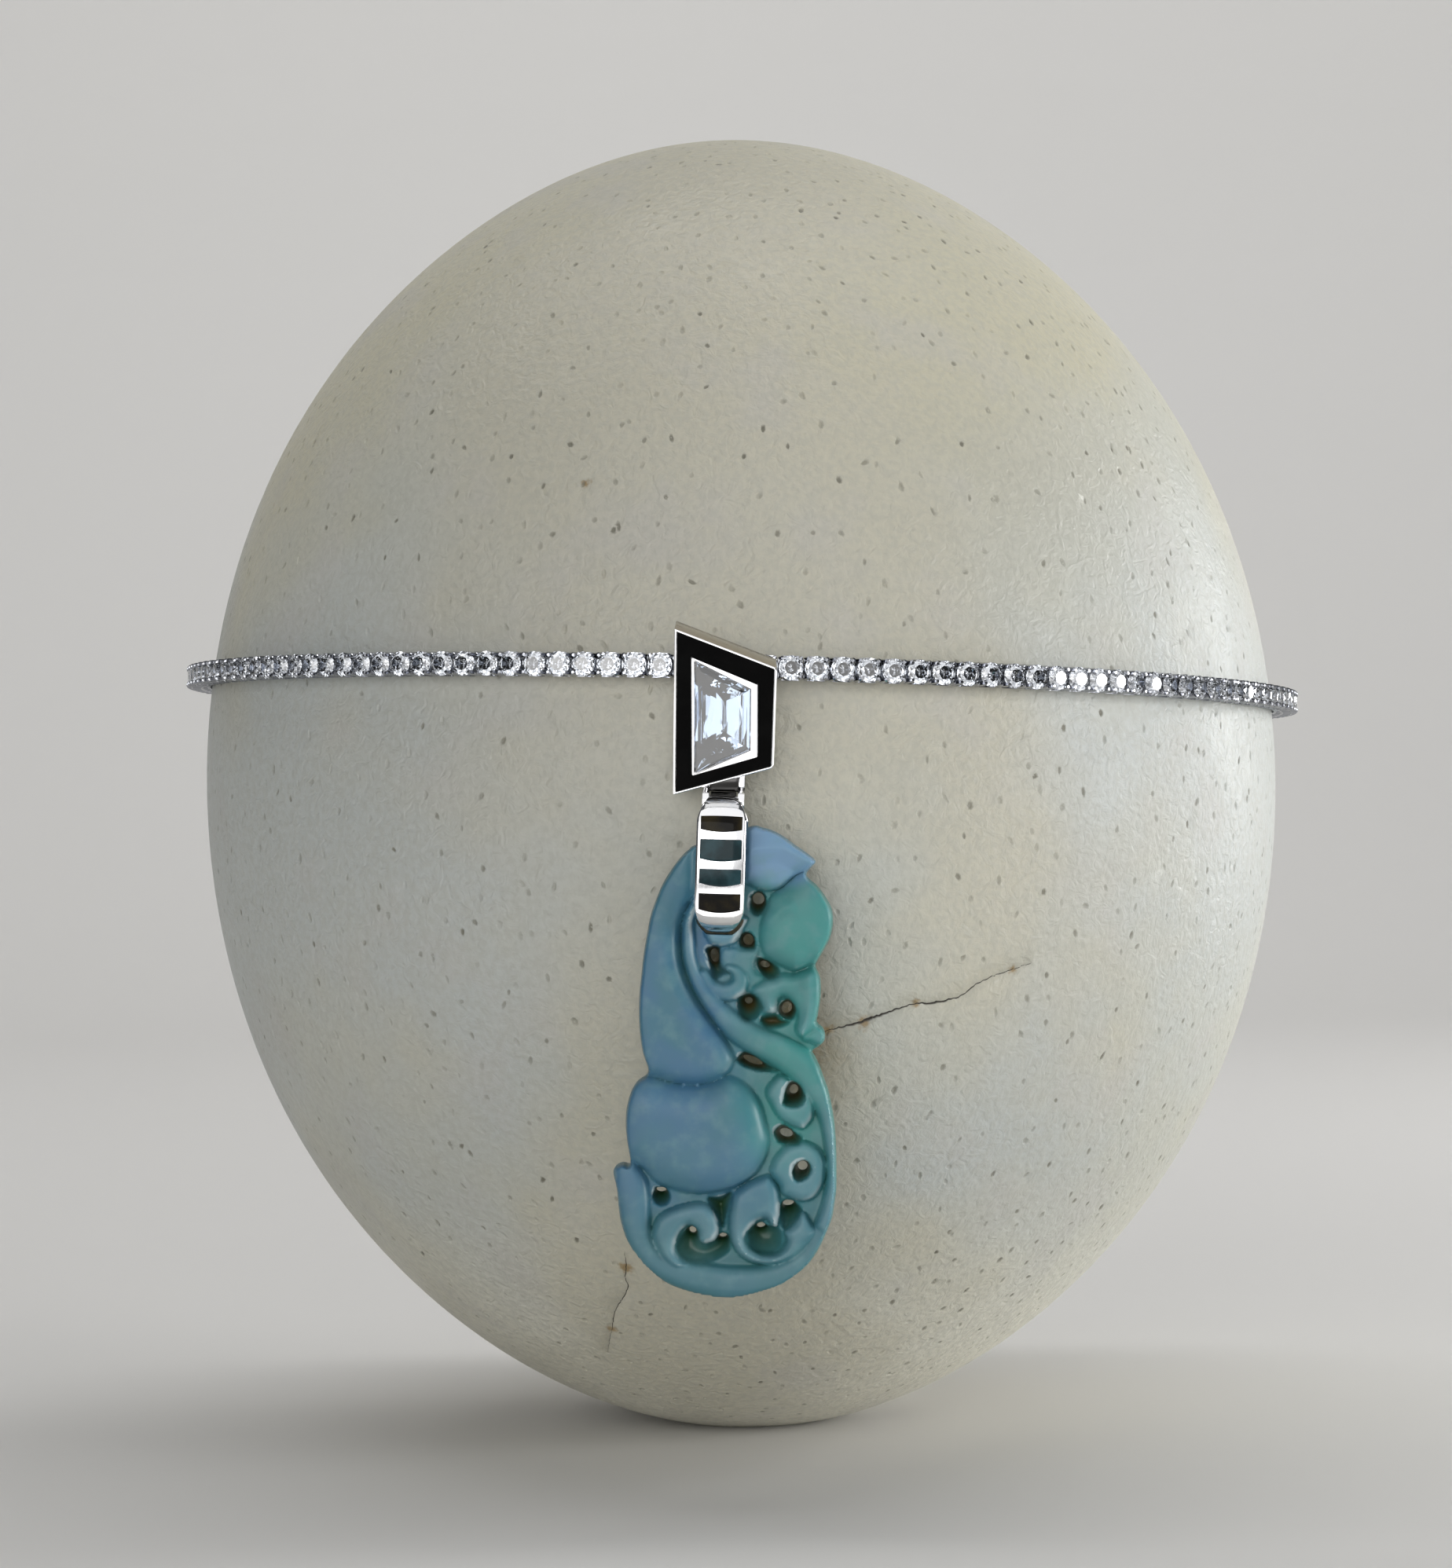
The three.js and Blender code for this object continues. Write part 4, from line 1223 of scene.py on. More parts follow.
# bail: a crowned strap bent into a closed loop, with four strips let into its front
bail = {
    "middle": (-0.2, -7.6),         # depth and height of the loop's middle
    "halfDepth": 4.2,
    "halfHeight": 7.0,
    "squareness": 3.0,
    "wall": 1.1,
    "crown": 0.25,
    "crownHalf": 2.5,
    "edgeSoft": 0.92,       # share of the half width where the edge turns over
    "edgeFall": 0.14,
    "innerSoft": 0.12,
    "widths": [(0.5, 1.45), (-0.7, 1.45), (-1.4, 2.0), (-2.1, 2.3), (-2.9, 2.5), (-12.5, 2.5),
               (-13.4, 2.25), (-13.95, 1.9), (-14.35, 1.4), (-14.7, 0.6)],
    "inlays": [(-2.75, -4.05), (-5.1, -7.05), (-8.1, -9.55), (-10.6, -12.2)],
    "inlayHalf": 2.075,
    "inlayDepth": 0.5,
    "inlayGap": 0.03,
    "inlayProud": 0.0,
    "inlaySag": 0.28,
    "inlayEdge": 0.05,
    "grooveRise": 0.5,      # how far the cutter of a groove stands out
    "loopSteps": 128,
    "lugRoom": 1.05,
    "lugRoomReach": 2.6,
}


def loopPoint(angle):
    power = 2 / bail["squareness"]
    across = math.copysign(abs(math.cos(angle)) ** power, math.cos(angle))
    up = math.copysign(abs(math.sin(angle)) ** power, math.sin(angle))
    spot = Vector((bail["middle"][0] + bail["halfDepth"] * across,
                   bail["middle"][1] + bail["halfHeight"] * up))
    steep = bail["squareness"] - 1
    out = Vector((math.copysign(abs(across) ** steep / bail["halfDepth"], across),
                  math.copysign(abs(up) ** steep / bail["halfHeight"], up)))
    return spot, out.normalized()


def frontAngle(height):
    share = (height - bail["middle"][1]) / bail["halfHeight"]
    up = math.copysign(abs(share) ** (bail["squareness"] / 2), share)
    return math.pi - math.asin(max(-1.0, min(1.0, up)))


def halfWidthAt(height):
    heights, widths = zip(*reversed(bail["widths"]))
    return float(np.interp(height, heights, widths))


def strapSurface(angle, across, half, rise):
    spot, out = loopPoint(angle)
    bulge = -bail["crown"] * (across / bail["crownHalf"]) ** 2
    edge = abs(across) / half
    if edge > bail["edgeSoft"]:
        bulge -= bail["edgeFall"] * ((edge - bail["edgeSoft"]) / (1 - bail["edgeSoft"])) ** 2
    flat = spot + out * (bulge + rise)
    return (across, flat.x, flat.y)


def makeStrap():
    steps = bail["loopSteps"]
    shares = [-1, -0.985, -0.96, -0.92, -0.65, -0.4, -0.15, 0.15, 0.4, 0.65, 0.92, 0.96, 0.985, 1]
    wall, soft = -bail["wall"], bail["innerSoft"]
    inside = [(1.0, wall + soft), (0.93, wall), (0.4, wall)]
    inside += [(-share, depth) for share, depth in reversed(inside)]
    vertices = []
    for step in range(steps):
        angle = 2 * math.pi * step / steps
        spot, out = loopPoint(angle)
        half = halfWidthAt(spot.y)
        section = [strapSurface(angle, share * half, half, 0.0) for share in shares]
        for share, depth in inside:
            inner = spot + out * depth
            section.append((share * half, inner.x, inner.y))
        vertices += section
    count = len(shares) + len(inside)
    faces = []
    for step in range(steps):
        base, upper = step * count, ((step + 1) % steps) * count
        for index in range(count):
            after = (index + 1) % count
            faces.append((base + index, base + after, upper + after, upper + index))
    strap = makePiece("strap", vertices, faces)
    faceOutwards(strap)
    return strap


# a strip of the strap's own front, as thick as the inlay
def stripPiece(name, top, bottom, half, rise, depth):
    rows, columns = 10, 12
    noEdge = bail["crownHalf"] * 1.2    # wide enough that the strip has no turned edge
    vertices = []
    for level in (rise, -depth):
        for row in range(rows + 1):
            for column in range(columns + 1):
                across = half * (2 * column / columns - 1)
                lowest = bottom - bail["inlaySag"] * (1 - (across / half) ** 2)
                angle = frontAngle(top + (lowest - top) * row / rows)
                vertices.append(strapSurface(angle, across, noEdge, level))
    width = columns + 1
    layer = (rows + 1) * width
    faces = []
    for row in range(rows):
        for column in range(columns):
            a = row * width + column
            faces.append((a, a + 1, a + width + 1, a + width))
            faces.append((layer + a, layer + a + width, layer + a + width + 1, layer + a + 1))
    border = [k for k in range(width)]
    border += [r * width + columns for r in range(1, rows + 1)]
    border += [rows * width + k for k in range(columns - 1, -1, -1)]
    border += [r * width for r in range(rows - 1, 0, -1)]
    for a, b in zip(border, border[1:] + border[:1]):
        faces.append((a, a + layer, b + layer, b))
    piece = makePiece(name, vertices, faces)
    faceOutwards(piece)
    return piece


def makeBail():
    strap = makeStrap()
    gap = bail["inlayGap"]
    cutters = []
    for top, bottom in bail["inlays"]:
        cutters.append(stripPiece("groove", top + gap, bottom - gap, bail["inlayHalf"] + gap,
                                  bail["grooveRise"], bail["inlayDepth"] + gap))
    # the lugs need room to turn beside the barrel
    turns = np.linspace(0, 2 * math.pi, 32, endpoint=False)
    radius, drop = bail["lugRoom"], jewel["hingeDrop"]
    room = [(radius * math.cos(a), radius * math.sin(a) - drop) for a in turns]
    near, far = hinge["barrelLength"] / 2, bail["lugRoomReach"]
    for fromX, toX in ((near, far), (-far, -near)):
        cutters.append(sideOutlinePiece("lugRoom", room, fromX, toX))
    for cutter in cutters:
        cut = strap.modifiers.new("groove", "BOOLEAN")
        cut.operation = "DIFFERENCE"
        cut.solver = "EXACT"
        cut.object = cutter
        bakeModifiers(strap)
        bpy.data.objects.remove(cutter)
    barrel = makePiece("barrel", *tubeMesh(hinge["barrelRadius"], hinge["barrelBore"],
                                           hinge["barrelLength"], -drop))
    faceOutwards(barrel)
    softenEdges(barrel, hinge["barrelEdge"], 2)
    whole = joinPieces("bailLoop", [strap, barrel])
    placeInJewel(whole)
    keepCreases(whole, 32)
    return whole


def tubeMesh(outer, inner, length, height, sides=28):
    vertices = []
    half = length / 2
    for radius, x in ((outer, -half), (outer, half), (inner, half), (inner, -half)):
        for side in range(sides):
            angle = 2 * math.pi * side / sides
            vertices.append((x, radius * math.cos(angle), height + radius * math.sin(angle)))
    faces = []
    for ring in range(4):
        base, upper = ring * sides, ((ring + 1) % 4) * sides
        for side in range(sides):
            after = (side + 1) % sides
            faces.append((base + side, base + after, upper + after, upper + side))
    return vertices, faces


def makeInlay(index, top, bottom):
    inlay = stripPiece(f"bailInlay{index}", top, bottom, bail["inlayHalf"], bail["inlayProud"],
                       bail["inlayDepth"])
    softenEdges(inlay, bail["inlayEdge"], 2, 50)
    placeInJewel(inlay)
    keepCreases(inlay, 35)
    return inlay


finishPiece(makeBail(), bailGold, "drop", "white_gold", "bail")
inlayFinishes = (brownOnyx, tealOnyx, tealOnyx, brownOnyx)
for number, (inlayTop, inlayBottom) in enumerate(bail["inlays"], 1):
    finishPiece(makeInlay(number, inlayTop, inlayBottom), inlayFinishes[number - 1], "drop", "onyx",
                f"bail_inlay_{number}")


# jade drop: one carved stone, drawn as a height above its flat back, in the jewel's x and z
jade = {
    "backPlane": 2.8,
    "grid": 0.17,
    "edgeStart": 2.3,
    "edgeRise": 3.3,
    "edgeRound": 0.75,
    "backRound": 0.35,
    "backRoundReach": 0.6,
    "thinnest": 0.25,
    "ground": 3.3,
    "blend": 0.14,
    "swellPower": 2.3,
    "ridgePower": 2.6,
    "lip": 0.06,
    "lipWidth": 0.3,
    "wallPower": 0.7,
    "holeSpacing": 0.15,
    "guideApart": 0.6,      # these three are shares of the grid
    "gridFromGuide": 0.55,
    "edgeClear": 0.45,
    "polish": 1,            # rounds of smoothing
    "polishShare": 0.4,
    "bendRounds": 5,        # rounds of smoothing that the bend is measured against
    "bendMargin": 0.9,
    "standRounds": 40,      # more rounds, for how far a place stands out
    "highlightFall": (-0.8, 0.6),        # uphill direction of an edge with a painted highlight
    "eyeRound": 0.15,
    "tongueSoft": 0.3,
    "tongueHalf": 2.8,
    "tongueBottom": -14.9,
    "tongueFront": 4.05,
    "tongueBack": 1.75,
    "eye": [(-2.5, -13.1), (-2.3, -13.75), (-1.9, -14.3), (-1.3, -14.8), (1.3, -14.8), (1.9, -14.3),
            (2.3, -13.75), (2.5, -13.1)],
    "outline": [
        (-2.5, -5.7), (-3.35, -6.25), (-4.2, -7.1), (-5.05, -8.3), (-5.9, -9.75), (-6.55, -11.4),
        (-7.05, -12.95), (-7.4, -15), (-7.68, -17), (-7.85, -19), (-8.0, -21), (-8.0, -23),
        (-7.85, -25), (-7.5, -27), (-6.9, -29.0), (-8.05, -30.1), (-8.65, -31.3), (-9.0, -33),
        (-9.02, -34.5), (-8.85, -36), (-8.45, -38.35), (-9.3, -38.4), (-9.95, -38.75), (-10.15, -39.4),
        (-9.75, -41), (-9.5, -43), (-9.2, -44.5), (-8.5, -46.3), (-7.45, -47.75), (-6.2, -49.05),
        (-4.4, -50.4), (-2.6, -51.05), (-0.7, -51.45), (1.5, -51.65), (3.6, -51.4), (6.8, -50.35),
        (8.5, -49.3), (9.7, -48.25), (10.5, -47.2), (11.1, -46.1), (11.55, -45.05), (11.95, -44),
        (12.25, -43), (12.5, -41), (12.55, -40), (12.5, -38), (12.4, -36), (12.2, -34), (12.05, -33),
        (11.6, -31), (11.3, -30), (10.9, -29), (10.5, -28), (10.0, -27), (9.7, -26.4), (10.4, -25.85),
        (10.95, -25.2), (10.8, -24.2), (10.1, -23.5), (10.2, -22.6), (10.4, -20.8), (10.3, -19.0),
        (9.8, -17.8), (10.1, -17), (10.7, -15.9), (11.2, -14.8), (11.45, -13.4), (11.3, -12),
        (10.6, -10.7), (9.7, -9.6), (8.6, -8.6), (9.1, -7.7), (9.5, -7.1), (8.4, -6.2), (7.3, -5.5),
        (6.3, -4.8), (5.2, -4.2), (4, -3.85), (2.6, -3.8),
    ],
    # swelling shapes: outline, height at the edge, swell, distance over which it swells
    "swells": {
        "pod": ([(-2.2, -4.6), (-2.2, -6.5), (-2.15, -8.6), (-2.3, -10.6), (-3.2, -12.2), (-3.8, -14.1),
                 (-3.85, -16.0), (-3.55, -17.9), (-2.85, -19.8), (-1.85, -21.6), (-0.6, -23.3),
                 (0.75, -25.0), (1.7, -26.5), (1.95, -27.5), (1.6, -28.5), (1.0, -29.15), (0, -29.8),
                 (-1.5, -30.2), (-3, -30.25), (-4.5, -30.05), (-5.7, -29.75), (-7.2, -29.3),
                 (-8.3, -27.6), (-8.8, -25.2), (-9.0, -22), (-8.8, -19), (-8.4, -15), (-7.9, -12.8),
                 (-7.3, -10.9), (-6.6, -9.0), (-5.6, -7.4), (-4.6, -6.0), (-3.5, -5.0)], 2.6, 2.3, 2.2),
        "bigFruit": ([(-6.6, -29.3), (-4.5, -29.8), (-1.5, -29.9), (1.23, -29.03), (3.2, -29.86),
                      (4.66, -31.58), (5.34, -33.69), (5.73, -35.09), (5.67, -36.15), (5.35, -37.4),
                      (4.51, -38.84), (3.3, -39.84), (1.55, -40.69), (-0.79, -41.16), (-2.95, -41.07),
                      (-4.54, -40.62), (-5.73, -40.16), (-7.34, -38.64), (-9.4, -37.4), (-10.0, -35),
                      (-10.1, -33), (-9.6, -31), (-8.6, -29.8)], 2.8, 2.6, 4.0),
        "smallFruit": ([(9.6, -7.9), (10.6, -8.9), (11.7, -10.2), (12.4, -11.7), (12.6, -13.2),
                        (12.3, -14.9), (11.7, -16.5), (10.7, -17.6), (9.81, -17.6), (9.28, -17.66),
                        (8.41, -18.09), (7.71, -18.29), (6.82, -18.05), (5.92, -17.63), (5.02, -17.12),
                        (4.39, -16.52), (4.1, -15.65), (4.0, -14.41), (4.2, -13.2), (4.75, -11.9),
                        (4.95, -10.9), (5.5, -10.25), (6.25, -9.85), (7.44, -8.7), (8.35, -8.2),
                        (8.95, -7.85)], 3.1, 2.0, 3.4),
        "saddle": ([(0.4, -16.3), (1.6, -16.1), (2.2, -16.3), (3.5, -16.3), (3.9, -15.8), (4.0, -16.6),
                    (3.7, -17.2), (3.6, -18.0), (4.0, -18.7), (5.2, -19.2), (4.6, -20.4), (4.1, -21.0),
                    (3.3, -20.5), (2.4, -20.7), (1.5, -20.2), (1.6, -18.9), (0.7, -18.2),
                    (0.3, -17.3)], 3.4, 0.25, 1.0),
        "leaf": ([(1.6, -3.0), (2.6, -2.8), (4, -2.85), (5.6, -3.2), (6.9, -3.9), (8.1, -4.7),
                  (9.4, -5.6), (10.4, -6.7), (9.6, -7.4), (8.92, -7.82), (8.31, -8.19), (7.44, -8.66),
                  (6.75, -9.38), (6.23, -9.84), (5.53, -10.16), (4.83, -10.29), (3.77, -10.17),
                  (2.78, -9.67), (1.8, -9.0)], 3.3, 1.2, 1.7),
        "lip": ([(-2.0, -12.8), (-1.78, -14.04), (-1.5, -15.0), (-1.03, -15.7), (-0.49, -15.95),
                 (0.39, -16.07), (1.45, -15.76), (1.96, -15.21), (2.3, -14.55),
                 (2.69, -12.86)], 3.2, 1.1, 0.9),
        "boss": ([(5.6, -18.9), (6.4, -18.5), (7.7, -18.5), (9.3, -17.9), (11.0, -18.0), (11.4, -20.0),
                  (11.4, -22.0), (10.9, -23.6), (9.6, -24.6), (8.55, -25.0), (7.9, -24.2), (8.1, -22.9),
                  (7.85, -22.0), (7.45, -21.4), (6.8, -21.0), (6.25, -21.3), (5.9, -22.6), (4.6, -22.6),
                  (4.5, -22.1), (4.1, -21.2), (3.4, -20.55), (3.6, -19.8),
                  (4.6, -19.2)], 3.1, 1.4, 1.3),
        "knob": ([(8.55, -25.11), (9.44, -25.53), (10.51, -25.9), (11.5, -25.8), (11.8, -24.2),
                  (10.6, -22.8), (9.4, -24.02)], 2.9, 1.4, 0.9),
        "ringOne": ([(5.55, -31.74), (6.11, -32.78), (6.83, -33.47), (7.91, -34.06), (8.8, -34.3),
                     (9.33, -34.11), (10.01, -33.2), (10.24, -32.05), (10.04, -31.08), (9.57, -30.21),
                     (8.85, -29.52), (7.78, -29.2), (6.52, -28.7), (5.32, -29.8),
                     (5.08, -30.86)], 3.0, 1.6, 1.1),
        "ringTwo": ([(5.74, -38.8), (6.66, -40.02), (7.04, -40.89), (8.3, -41.47), (9.36, -41.62),
                     (10.41, -41.15), (11.26, -39.89), (11.52, -38.64), (11.45, -37.23),
                     (10.62, -36.01), (9.01, -35.35), (7.26, -35.93), (6.23, -37.02),
                     (5.81, -37.92)], 3.0, 1.6, 1.2),
        "leftSwirl": ([(-3.32, -48.94), (-4.72, -48.19), (-5.65, -46.64), (-6.07, -45.48),
                       (-5.96, -44.49), (-5.44, -43.5), (-4.48, -42.78), (-3.12, -42.25),
                       (-1.56, -41.91), (-0.37, -42.17), (0.54, -43.13), (0.91, -44.3), (0.8, -45.29),
                       (0.32, -45.89), (-0.65, -46.19), (-1.25, -45.83), (-1.41, -45.05),
                       (-2.08, -44.42), (-2.66, -44.64), (-3.19, -45.4), (-3.44, -46.19),
                       (-3.38, -46.97), (-2.77, -47.74), (-1.9, -48.3)], 3.0, 1.7, 1.1),
        "rightSwirl": ([(2.19, -40.92), (1.84, -42.51), (1.68, -43.69), (1.82, -45.26), (2.51, -46.81),
                        (3.72, -47.76), (5.3, -48.15), (6.87, -48.06), (8.42, -47.43), (9.76, -46.21),
                        (10.9, -44.61), (10.2, -43.6), (9.17, -42.5), (8.32, -43.7), (7.36, -44.61),
                        (7.54, -45.49), (7.21, -46.29), (6.44, -46.86), (5.07, -46.93), (4.07, -46.47),
                        (3.56, -45.7), (3.64, -45.01), (4.21, -44.21), (4.78, -43.7), (5.56, -43.58),
                        (6.07, -44.16), (6.66, -44.24), (6.85, -43.74), (6.96, -42.76), (6.85, -40.5),
                        (6.23, -39.44), (5.67, -38.9), (4.66, -39.24), (3.49, -39.81)], 3.0, 1.7, 1.2),
    },
    # rounded bands: route with half width at each point, height of the feet, rise
    "ridges": {
        "vine": ([(-2.2, -10.8, 0.4), (-3.15, -13.3, 0.55), (-3.15, -15.3, 0.66), (-2.9, -17.4, 0.7),
                  (-2.1, -19.5, 0.76), (-1.0, -21.2, 0.88), (0.4, -22.8, 1.1), (2.0, -24.3, 1.35),
                  (4.0, -25.4, 1.45), (6.2, -26.3, 1.6), (8.4, -27.7, 1.75), (10.0, -29.6, 1.45),
                  (11.3, -31.9, 1.2), (11.9, -34.0, 1.05), (12.2, -36.0, 0.95), (12.4, -38.0, 0.9),
                  (12.4, -40.2, 1.0), (12.1, -42.2, 1.1), (11.6, -43.8, 1.15)], 2.9, 1.8),
        "rim": ([(11.6, -43.8, 1.15), (10.8, -45.8, 1.15), (9.5, -47.6, 1.3), (7.5, -49.0, 1.5),
                 (5.0, -49.8, 1.65), (2.2, -50.1, 1.8), (-0.6, -49.8, 1.7), (-3.4, -49.2, 1.4),
                 (-5.3, -48.3, 1.25), (-6.8, -46.6, 1.3), (-7.6, -44.5, 1.5), (-7.9, -42.3, 1.65),
                 (-8.25, -40.4, 1.75), (-8.7, -39.0, 1.3)], 2.9, 1.5),
        "hook": ([(-1.5, -18.9, 0.6), (-0.6, -20.2, 0.85), (0.7, -20.6, 1.0), (1.9, -20.1, 1.05),
                  (2.2, -19.3, 0.95), (1.8, -18.5, 0.7), (1.0, -18.1, 0.4)], 2.9, 1.4),
    },
    # folds: route, half width, rise
    "folds": {
        "leaf": ([(2.0, -6.3), (3.82, -5.93), (5.77, -5.79), (6.84, -6.11), (8.27, -6.86),
                  (9.5, -7.3)], 1.5, 0.5),
        "boss": ([(9.2, -18.9), (9.3, -20.5), (9.2, -22.6), (8.4, -24.5)], 1.0, 0.3),
        "smallFruit": ([(4.9, -13.2), (5.8, -12.3), (7.0, -11.7)], 0.9, 0.18),
    },
    # hollows: outline at the front, floor height, and the holes through the stone as centre, radii, tilt
    "hollows": [
        ([(3.1, -11.1), (3.5, -10.4), (4.15, -10.35), (4.6, -11.05), (4.65, -11.8), (4.3, -12.5),
          (3.75, -12.85), (3.2, -12.5), (2.95, -11.8)], 0.9, [(3.8, -11.1, 0.6, 0.6, 0)]),
        ([(1.95, -15.35), (2.25, -14.6), (2.9, -14.45), (3.45, -14.85), (3.7, -15.65), (3.5, -16.2),
          (2.55, -16.15), (2.1, -15.9)], 0.9, [(2.88, -15.3, 0.52, 0.58, 0)]),
        ([(-1.45, -16.35), (-0.9, -16.0), (0.05, -16.1), (0.15, -17.4), (0.55, -18.2), (1.5, -18.75),
          (0.65, -18.85), (-0.3, -19.4), (-0.75, -18.7),
          (-1.1, -17.3)], 0.9, [(-0.5, -17.0, 0.42, 0.7, 8)]),
        ([(3.8, -17.2), (4.25, -17.0), (5.35, -17.45), (6.2, -18.15), (5.95, -19.0), (4.85, -19.1),
          (4.0, -18.2)], 1.2, [(4.65, -17.75, 0.5, 0.34, -20)]),
        ([(1.95, -21.4), (2.5, -20.85), (3.35, -20.65), (4.1, -21.15), (4.5, -22.05), (4.2, -23.0),
          (3.5, -23.5), (2.8, -23.6), (2.2, -23.0)], 1.0, [(3.1, -21.5, 0.4, 0.35, 0)]),
        ([(6.2, -22.0), (6.5, -21.45), (7.1, -21.15), (7.75, -21.6), (8.0, -22.4), (7.7, -23.15),
          (7.15, -23.25), (6.3, -22.75)], 0.9, [(7.0, -22.1, 0.5, 0.62, -25)]),
        ([(4.4, -23.0), (5.15, -22.75), (6.05, -22.65), (6.6, -23.1), (7.5, -23.4), (6.6, -24.0),
          (5.2, -24.2), (4.4, -23.7)], 1.9, []),
        ([(2.05, -27.35), (2.75, -26.6), (3.7, -26.9), (4.65, -27.5), (5.75, -28.0), (6.7, -28.45),
          (5.6, -28.6), (4.35, -28.55), (2.95, -28.15),
          (2.15, -27.65)], 1.0, [(3.7, -27.55, 1.05, 0.36, -20)]),
        ([(6.8, -31.5), (7.2, -29.9), (7.75, -29.4), (8.5, -29.7), (9.1, -30.5), (9.2, -31.2),
          (8.7, -31.9), (7.75, -32.1), (7.0, -31.9)], 0.9, [(7.95, -30.4, 0.42, 0.5, -15)]),
        ([(6.0, -34.7), (6.7, -33.9), (7.35, -34.0), (8.3, -34.7), (8.95, -35.15), (8.65, -35.8),
          (7.7, -35.9), (6.6, -35.7)], 1.0, [(7.3, -34.85, 0.68, 0.44, -15)]),
        ([(8.0, -38.5), (8.4, -37.7), (9.15, -37.3), (9.8, -37.65), (9.95, -38.45), (9.55, -39.15),
          (8.75, -39.55), (8.2, -39.25)], 0.9, [(9.05, -38.15, 0.5, 0.5, 0)]),
        ([(-5.25, -40.6), (-4.55, -40.85), (-4.25, -41.55), (-4.5, -42.25), (-5.2, -42.55),
          (-5.85, -42.25), (-6.15, -41.6), (-5.9, -40.95)], 0.9, [(-5.3, -41.0, 0.5, 0.28, 0)]),
        ([(-2.25, -44.5), (-2.95, -45.2), (-3.4, -46.1), (-3.45, -47.05), (-2.75, -47.9), (-1.2, -48.2),
          (0.55, -47.8), (1.9, -46.8), (1.85, -45.5), (1.3, -45.0), (0.7, -45.3), (0.25, -45.9),
          (-0.65, -46.15), (-1.25, -45.6),
          (-1.5, -44.6)], 1.3, [(-1.95, -45.0, 0.36, 0.38, 20), (1.15, -45.45, 0.4, 0.26, 10)]),
        ([(3.65, -45.0), (4.2, -44.25), (5.0, -43.8), (5.6, -44.1), (6.75, -44.3), (7.2, -45.1),
          (7.0, -46.3), (6.05, -47.0), (4.9, -47.1), (3.9, -46.2)], 1.2, [(5.0, -44.3, 0.45, 0.3, 15)]),
        ([(6.85, -42.45), (7.25, -41.6), (7.85, -41.5), (8.45, -41.7), (9.15, -42.5), (8.5, -43.7),
          (7.55, -44.6), (7.05, -43.9)], 1.0, [(7.7, -41.95, 0.58, 0.34, 10)]),
        ([(-0.5, -41.5), (0.8, -41.3), (2.0, -40.8), (1.8, -42.1), (1.45, -43.5), (1.15, -44.6),
          (0.65, -43.7), (-0.1, -42.4)], 1.6, []),
    ],
}


def ellipseRun(x, z, wide, tall, tilt=0, steps=32):
    angle = np.arange(steps) * 2 * math.pi / steps
    spin = math.radians(tilt)
    flat = np.stack([wide * np.cos(angle), tall * np.sin(angle)], 1)
    turn = np.array([[math.cos(spin), -math.sin(spin)], [math.sin(spin), math.cos(spin)]])
    return flat @ turn.T + (x, z)


# points along a closed run at an even spacing
def evenRun(run, spacing):
    closed = np.vstack([run, run[:1]])
    travelled = np.concatenate([[0], np.cumsum(np.hypot(*np.diff(closed, axis=0).T))])
    stops = np.linspace(0, travelled[-1], max(8, int(travelled[-1] / spacing)), endpoint=False)
    return np.stack([np.interp(stops, travelled, closed[:, k]) for k in (0, 1)], 1)


def arch(share, power=2):
    return (1 - (1 - np.clip(share, 0, 1)) ** power) ** (1 / power)


def softMax(first, second, width):
    return np.maximum(first, second) + np.maximum(width - np.abs(first - second), 0) ** 2 / (4 * width)


def signedDepth(points, run):
    gap, _ = distanceToRun(points, run, True)
    return np.where(insideRun(points, run), gap, -gap)


def carvedHeight(points, outlineDepth):
    height = np.full(len(points), jade["ground"])
    for outline, edge, swell, reach in jade["swells"].values():
        depth = signedDepth(points, smoothRun(outline, 5, True))
        shape = np.where(depth > 0, edge + swell * arch(depth / reach, jade["swellPower"]), 0)
        height = softMax(height, shape, jade["blend"])
    for route, foot, rise in jade["ridges"].values():
        run = smoothRun(route, 6, False)
        gap, along = distanceToRun(points, run[:, :2], False)
        half = np.interp(along, np.linspace(0, 1, len(run)), run[:, 2])
        shape = np.where(gap < half, foot + rise * arch(1 - gap / half, jade["ridgePower"]), 0)
        height = softMax(height, shape, jade["blend"])
    for route, half, rise in jade["folds"].values():
        gap, along = distanceToRun(points, smoothRun(route, 6, False), False)
        height = height + rise * np.clip(1 - gap / half, 0, 1)
    edge = jade["edgeStart"] + jade["edgeRise"] * arch(outlineDepth / jade["edgeRound"])
    return -softMax(-height, -edge, jade["blend"])


